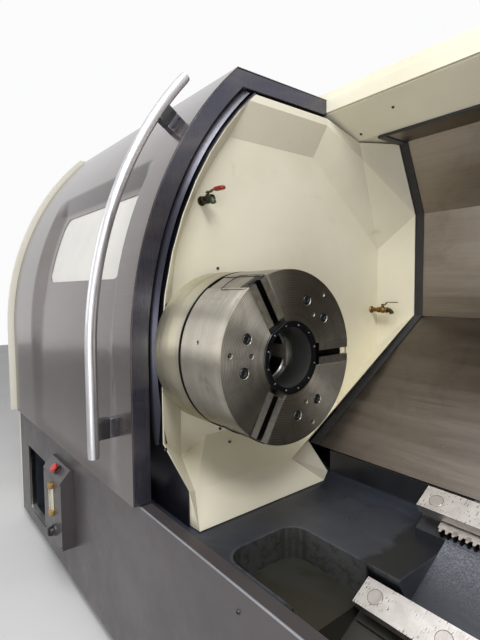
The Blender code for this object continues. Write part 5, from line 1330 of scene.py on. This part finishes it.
def make_service_box():
    """The box's mushroom button and its collar, the sight gauge, the switch and the cover's screws."""
    run = np.array((0.0, 0.050, 0.055))
    run /= np.linalg.norm(run)
    out = np.array((0.0, -run[2], run[1]))
    middle = np.array((-1.330, -0.410, -0.7075))
    turn = axes_along(out)
    a = np.linspace(0.0, math.pi / 2, 9)
    dome = [(0.0235 * math.cos(v), 0.0145 + 0.0075 * math.sin(v)) for v in a]
    cap = turned([(0.0, -0.004), (0.0098, -0.004), (0.0098, 0.001), (0.0190, 0.002), (0.0232, 0.006)]
                 + dome, 48)
    piece("stop_mushroom", repeated(cap, middle + out * 0.0143, turn), red_plastic, "button",
          ("stop_button",), crease=35.0)
    collar = turned_ring([(0.0118, 0.0004), (0.0245, 0.0004), (0.0245, 0.004), (0.0222, 0.0086),
                          (0.0118, 0.0086)], 48)
    piece("stop_collar", repeated(collar, middle, turn), black_plastic, "machine",
          crease=35.0)
    x, low, high, face = -1.345, -0.950, -0.775, -0.435
    blocks = []
    for z0, z1 in ((low, low + 0.030), (high - 0.030, high)):
        loop = rounded_loop(x - 0.0175, x + 0.0175, z0, z1, 0.005, 4, 3)[0]
        levels = np.array((-0.0004, -0.0190, -0.0215))
        inset = np.array((1.0, 1.0, 0.90))
        centre = np.array((x, (z0 + z1) / 2))
        flat = centre + (loop - centre)[None] * inset[:, None, None]
        blocks.append(capped(xyz(flat[..., 0], face + levels[:, None], flat[..., 1])))
    piece("gauge_ends", together(*blocks), brass, "machine", ("sight_gauge",), crease=35.0)
    z = np.linspace(low + 0.028, high - 0.028, 6)
    path = xyz(x, face - 0.0115, z)
    tube = carried(path, circle(0.0092, 28), ALONG, REARWARD)
    piece("gauge_glass", tube, glass, "machine", crease=40.0)
    guard = rounded_loop(-0.0150, 0.0150, -0.0010, 0.0010, 0.0009, 3, 6)[0]
    back = carried(path + 0.0098 * REARWARD, guard, ALONG, REARWARD)
    piece("gauge_back", back, gauge_white, "machine", crease=40.0)
    spot = np.array((-1.315, -0.4455, -1.020))
    turn = axes_along(-REARWARD)
    dial = turned([(0.0, 0.0002), (0.0295, 0.0002), (0.0295, 0.0015), (0.0270, 0.0030), (0.0, 0.0030)], 48)
    hub = turned([(0.0, 0.0030), (0.0185, 0.0030), (0.0165, 0.0150), (0.0150, 0.0190), (0.0, 0.0190)], 48)
    half, low = 0.0275, 0.003
    along = np.linspace(-half, half, 24)[:, None]
    swell = np.sqrt(np.clip(1.0 - np.abs(along / half) ** 6, 0.05, 1.0))
    wide, high = rounded_loop(-0.0058, 0.0058, low, 0.0295, 0.0030, 4, 4)[0].T
    bar = capped(xyz(swell * wide, along, low + swell * (high - low)))
    piece("isolator_grip", repeated(together(dial, hub, bar), spot, turn), black_plastic, "switch_knob",
          ("isolator_knob",), crease=35.0)
    corners = [(bx, bz) for bx in (-1.492, -1.218) for bz in (-1.077, -0.748)]
    head = button_head(0.0045, 0.0030)
    seats = [(np.array((bx, face, bz)), -REARWARD) for bx, bz in corners]
    piece("box_screws", placed(head, seats), screw_black, "machine")


make_service_box()


# Operator's panel

def panel_block(x0, x1, z0, z1, radius, steps):
    """A rounded block on the panel: one loop for each step of inset and depth, from its back to its front."""
    inset, depth = np.asarray(steps, float).T
    rings = rounded_loop(x0 + inset, x1 - inset, z0 + inset, z1 - inset, np.maximum(radius - inset, 0.0008),
                         4, 4)
    return capped(xyz(rings[..., 0], depth[:, None], rings[..., 1]))


def make_panel():
    """The swinging panel: a bezel round a sunk face, a screen, blank keys, round buttons and two dials."""
    x0, x1, z0, z1 = 1.6405, 2.180, -0.150, 0.450
    back, front, sunk = -0.460, -0.5398, -0.5280
    steps = [(0.004, back), (0.0, back - 0.004), (0.0, front + 0.004), (0.0012, front + 0.0012),
             (0.004, front), (0.014, front), (0.0165, front + 0.002), (0.0175, sunk)]
    case = panel_block(x0, x1, z0, z1, 0.012, steps)
    barrel = turned_ring([(0.0084, -0.122), (0.0163, -0.122), (0.0163, -0.054), (0.0084, -0.054)], 40)
    barrel = repeated(barrel, (1.625, -0.500, 0.0), UPRIGHT)
    piece("panel_case", together(case, barrel), cover_paint, "operator_panel",
          ("control_panel",), crease=35.0)
    steps = [(0.0, sunk + 0.001), (0.0, sunk - 0.0045), (0.0025, sunk - 0.006), (0.012, sunk - 0.006),
             (0.0135, sunk - 0.0040)]
    screen = panel_block(1.700, 2.060, 0.175, 0.415, 0.006, steps)
    piece("panel_screen_frame", screen, black_plastic, "operator_panel", crease=35.0)
    steps = [(0.0, sunk - 0.0030), (0.0, sunk - 0.0050), (0.001, sunk - 0.0054)]
    pane = panel_block(1.7132, 2.0468, 0.1882, 0.4018, 0.002, steps)
    piece("panel_screen", pane, screen_glass, "operator_panel", crease=35.0)
    key = panel_block(-0.0085, 0.0085, -0.0070, 0.0070, 0.0022,
                      [(0.0, 0.001), (0.0, -0.0040), (0.0012, -0.0052), (0.004, -0.0050)])
    soft = np.array([(1.724 + 0.0397 * i, sunk, 0.152) for i in range(9)])
    rows = np.array([(1.712 + 0.026 * i, sunk, 0.110 - 0.024 * j) for i in range(8) for j in range(6)])
    piece("panel_keys", repeated(key, np.vstack([soft, rows]), UPRIGHT), key_grey, "operator_panel",
          crease=35.0)
    turn = axes_along(-REARWARD)
    button = turned([(0.0, -0.001), (0.0125, -0.001), (0.0125, 0.0035), (0.0105, 0.0045), (0.0095, 0.0105),
                     (0.0080, 0.0112), (0.0, 0.0112)], 32)
    column = 2.105
    starts = [(column, sunk, z) for z in (0.385, 0.345)]
    blacks = [(column, sunk, z) for z in (0.305, 0.265, 0.225)] + [(x, sunk, -0.100) for x in (1.965, 2.010)]
    for name, finish, slot, spots in (("panel_start_buttons", green_plastic, "brass", starts),
                                      ("panel_black_buttons", black_plastic, "blacked_steel", blacks)):
        piece(name, repeated(button, np.array(spots), turn), finish, "operator_panel", crease=30.0)
    stop = turned([(0.0, -0.001), (0.0210, -0.001), (0.0210, 0.0020), (0.0120, 0.0024), (0.0120, 0.0040),
                   (0.0175, 0.0055), (0.0185, 0.0085), (0.0150, 0.0110), (0.0, 0.0116)], 40)
    piece("panel_stop", repeated(stop, (column, sunk, -0.095), turn), red_plastic, "operator_panel",
          crease=30.0)
    knurl = 0.0250 + 0.0007 * np.cos(24.0 * full_turn(96))
    share = np.array((0.0, 1.12, 1.12, 1.0, 1.0, 0.93, 0.0))
    dial = spun(knurl * share, (-0.001, -0.001, 0.0020, 0.0025, 0.0095, 0.0110, 0.0112), 96)
    piece("panel_dials", repeated(dial, np.array([(2.090, sunk, 0.060), (1.990, sunk, 0.060)]), turn),
          black_plastic, "operator_panel", crease=35.0)


make_panel()


# Turret

def make_turret():
    """The twelve-station disc: a twelve-sided turned body, a seat ring, and a wedge block under a screw on
    each flat."""
    hub = np.array((0.0, *slope_point(0.0, 0.900, 0.627)[1:]))
    along = axes_along(ALONG, SLOPE_OUT)
    body = turned([(0.0, 0.7045), (0.196, 0.7045), (0.200, 0.7005), (0.236, 0.7005), (0.2400, 0.7045),
                   (0.2400, 0.8255), (0.236, 0.8295), (0.150, 0.8295), (0.0, 0.8295)], 12)
    piece("turret_body", repeated(body, hub, along), machined, "turret", ("turret_disc",),
          bevel=0.0015, crease=20.0)
    cap = turned([(0.0, 0.6805), (0.060, 0.6805), (0.066, 0.6830), (0.090, 0.6990), (0.094, 0.7030),
                  (0.094, 0.7060), (0.0, 0.7060)], 96)
    piece("turret_cap", repeated(cap, hub, along), spindle_steel, "turret", crease=30.0)
    angles = np.radians(15.0 + 30.0 * np.arange(12))
    heads, pockets = [], []
    for a in angles:
        out = math.cos(a) * along[0] + math.sin(a) * along[1]
        side = -math.sin(a) * along[0] + math.cos(a) * along[1]
        seat = hub + out * 0.2318
        turn = np.array((side, ALONG, out))
        block = rounded_loop(-0.026, 0.026, 0.712, 0.790, 0.004, 3, 3)[0]
        levels = [(0.97, -0.004), (1.0, -0.003), (1.0, 0.0045), (0.96, 0.0060)]
        centre = np.array((0.0, 0.751))
        rings = [np.column_stack([(block - centre) * k + centre, np.full(len(block), h)]) for k, h in levels]
        pockets.append(repeated(capped(np.stack(rings)), seat, turn))
        place = np.array([seat + out * 0.0058 + x * ALONG for x in (0.728, 0.774)])
        heads.append(repeated(screw_head(0.0062, 0.0040, 0.0030), place, axes_along(out)))
    piece("turret_wedges", together(*pockets), jaw_bright, "turret", crease=35.0)
    piece("turret_screws", together(*heads), screw_black, "turret")


make_turret()


# Rear cabinet and covers

def flat_strip(x0, x1, z0, z1, lift):
    """A thin rectangular strip on the rear face: two equal loops, one a little inside the face and one
    lifted."""
    corners = np.array(((x0, z0), (x0, z1), (x1, z1), (x1, z0)))
    grid = np.stack([np.column_stack([corners[:, 0], np.full(4, y), corners[:, 1]]) for y in (-0.0005, lift)])
    return capped(grid)


def make_rear():
    """The cabinet's hinge knuckles, the rear cover's louvres, and the dark seams and door gaps on the
    rear."""
    face = 1.600
    knuckle = turned([(0.0, -0.034), (0.0034, -0.034), (0.0038, -0.0336), (0.0038, -0.0126),
                      (0.0032, -0.0120), (0.0032, -0.0112), (0.0038, -0.0106), (0.0038, 0.0336),
                      (0.0034, 0.034), (0.0, 0.034)], 24)
    spots = np.array([(-0.4965, face - 0.0006, z) for z in (-0.720, 0.0, 0.720)])
    piece("cabinet_knuckles", repeated(knuckle, spots, UPRIGHT), nickel, "machine", crease=35.0)
    share = np.linspace(0.0, 1.0, 25)[:, None]
    v = np.linspace(0.0, math.pi, 9)[None, :]
    bulge = np.sin(math.pi * share) ** 0.25
    x = (share - 0.5) * 0.230
    y = 0.0036 * bulge * np.sin(v) ** 0.8
    z = 0.0105 * bulge * np.cos(v)
    hood = surface(xyz(x, y, z), wrap_v=True)
    rows = np.array([(x0, face, z0) for x0 in (0.40, 1.80) for z0 in np.arange(-0.95, -0.33, 0.052)])
    piece("rear_louvres", repeated(hood, rows, UPRIGHT), cover_paint, "machine", crease=50.0)
    mouth = flat_strip(-0.100, 0.100, -0.0185, -0.0100, 0.0012)
    joins = [flat_strip(x0 - 0.0015, x0 + 0.0015, -1.280, 1.180, 0.0010) for x0 in (-0.300, 1.100)]
    left, right, high, wide = -1.6045, -0.4955, 0.9, 0.003
    edges = ((left, left + wide, -high, high), (right - wide, right, -high, high),
             (left, right, high, high + wide), (left, right, -high - wide, -high))
    gaps = [flat_strip(*edge, 0.0010) for edge in edges]
    lines = repeated(together(*joins, *gaps), face * REARWARD, UPRIGHT)
    strips = together(repeated(mouth, rows, UPRIGHT), lines)
    piece("rear_seams", strips, gasket_finish, "machine", crease=40.0)


make_rear()


# Camera, light and floor

SURROUNDINGS = 0.29


def studio():
    """The photograph's view, four square lamps, each a place, an aim, a width and a power, and a pale
    backdrop that lights the pieces with less than the camera, mirrors and clear pieces see of it."""
    level, upright, ahead = view_axes()
    lens = bpy.data.cameras.new("view")
    lens.lens = LENS
    lens.sensor_width = SENSOR
    lens.sensor_fit = 'AUTO'
    lens.clip_start = 0.02
    eye = bpy.data.objects.new("view", lens)
    place = np.eye(4)
    place[:3, 0], place[:3, 1], place[:3, 2] = level, upright, -ahead
    place[:3, 3] = DATUM + EYE
    eye.matrix_world = Matrix(place)
    bpy.context.scene.collection.objects.link(eye)
    bpy.context.scene.camera = eye
    for name, spot, aim, size, power in (("overhead", (0.4, -1.8, 4.9), (-0.8, 0.2, 0.8), 2.2, 85.0),
                                         ("key", (3.2, -2.3, 4.9), (-0.6, 0.0, 1.3), 1.2, 105.0),
                                         ("front", (2.1, -4.2, 1.25), (-0.2, -0.5, 1.5), 1.7, 70.0),
                                         ("fill", (-3.0, -4.2, 2.8), (-1.0, 0.0, 1.2), 2.6, 35.0)):
        light = bpy.data.lights.new(name, 'AREA')
        light.size = size
        light.energy = power
        lamp = bpy.data.objects.new(name, light)
        back = np.array(spot) - np.array(aim)
        turn = axes_along(back)
        place = np.eye(4)
        place[:3, :3] = turn.T
        place[:3, 3] = spot
        lamp.matrix_world = Matrix(place)
        bpy.context.scene.collection.objects.link(lamp)
    world = bpy.data.worlds.new("studio")
    bpy.context.scene.world = world
    world.use_nodes = True
    tree = world.node_tree
    backdrop = tree.nodes["Background"]
    rays = tree.nodes.new("ShaderNodeLightPath")
    seen = rays.outputs["Is Camera Ray"]
    for ray in ("Is Glossy Ray", "Is Transmission Ray"):
        either = tree.nodes.new("ShaderNodeMath")
        either.operation = 'MAXIMUM'
        tree.links.new(seen, either.inputs[0])
        tree.links.new(rays.outputs[ray], either.inputs[1])
        seen = either.outputs[0]
    strength = tree.nodes.new("ShaderNodeMapRange")
    tree.links.new(seen, strength.inputs[0])
    strength.inputs[3].default_value = SURROUNDINGS
    strength.inputs[4].default_value = 1.0
    tree.links.new(strength.outputs[0], backdrop.inputs["Strength"])
    backdrop.inputs["Color"].default_value = (0.97, 0.97, 0.98, 1.0)
    bpy.context.scene.view_settings.view_transform = 'Standard'


def studio_floor():
    """A level pale floor: a square grid at height 0, faintly mottled."""
    f = Finish("studio floor")
    colour = f.ramp(f.noise(0.8, 4.0), (0.3, tone(226, 226, 226)), (0.7, tone(236, 236, 236)))
    finish = f.done(colour, 0.7)
    reach = np.linspace(-14.0, 14.0, 5)
    u, v = np.meshgrid(reach, reach, indexing="ij")
    corners, faces = surface(xyz(u, v, 0.0))
    mesh = bpy.data.meshes.new("studio_floor")
    mesh.from_pydata(corners.tolist(), [], faces.tolist())
    mesh.materials.append(finish)
    floor = bpy.data.objects.new("studio_floor", mesh)
    bpy.context.scene.collection.objects.link(floor)


studio()
studio_floor()
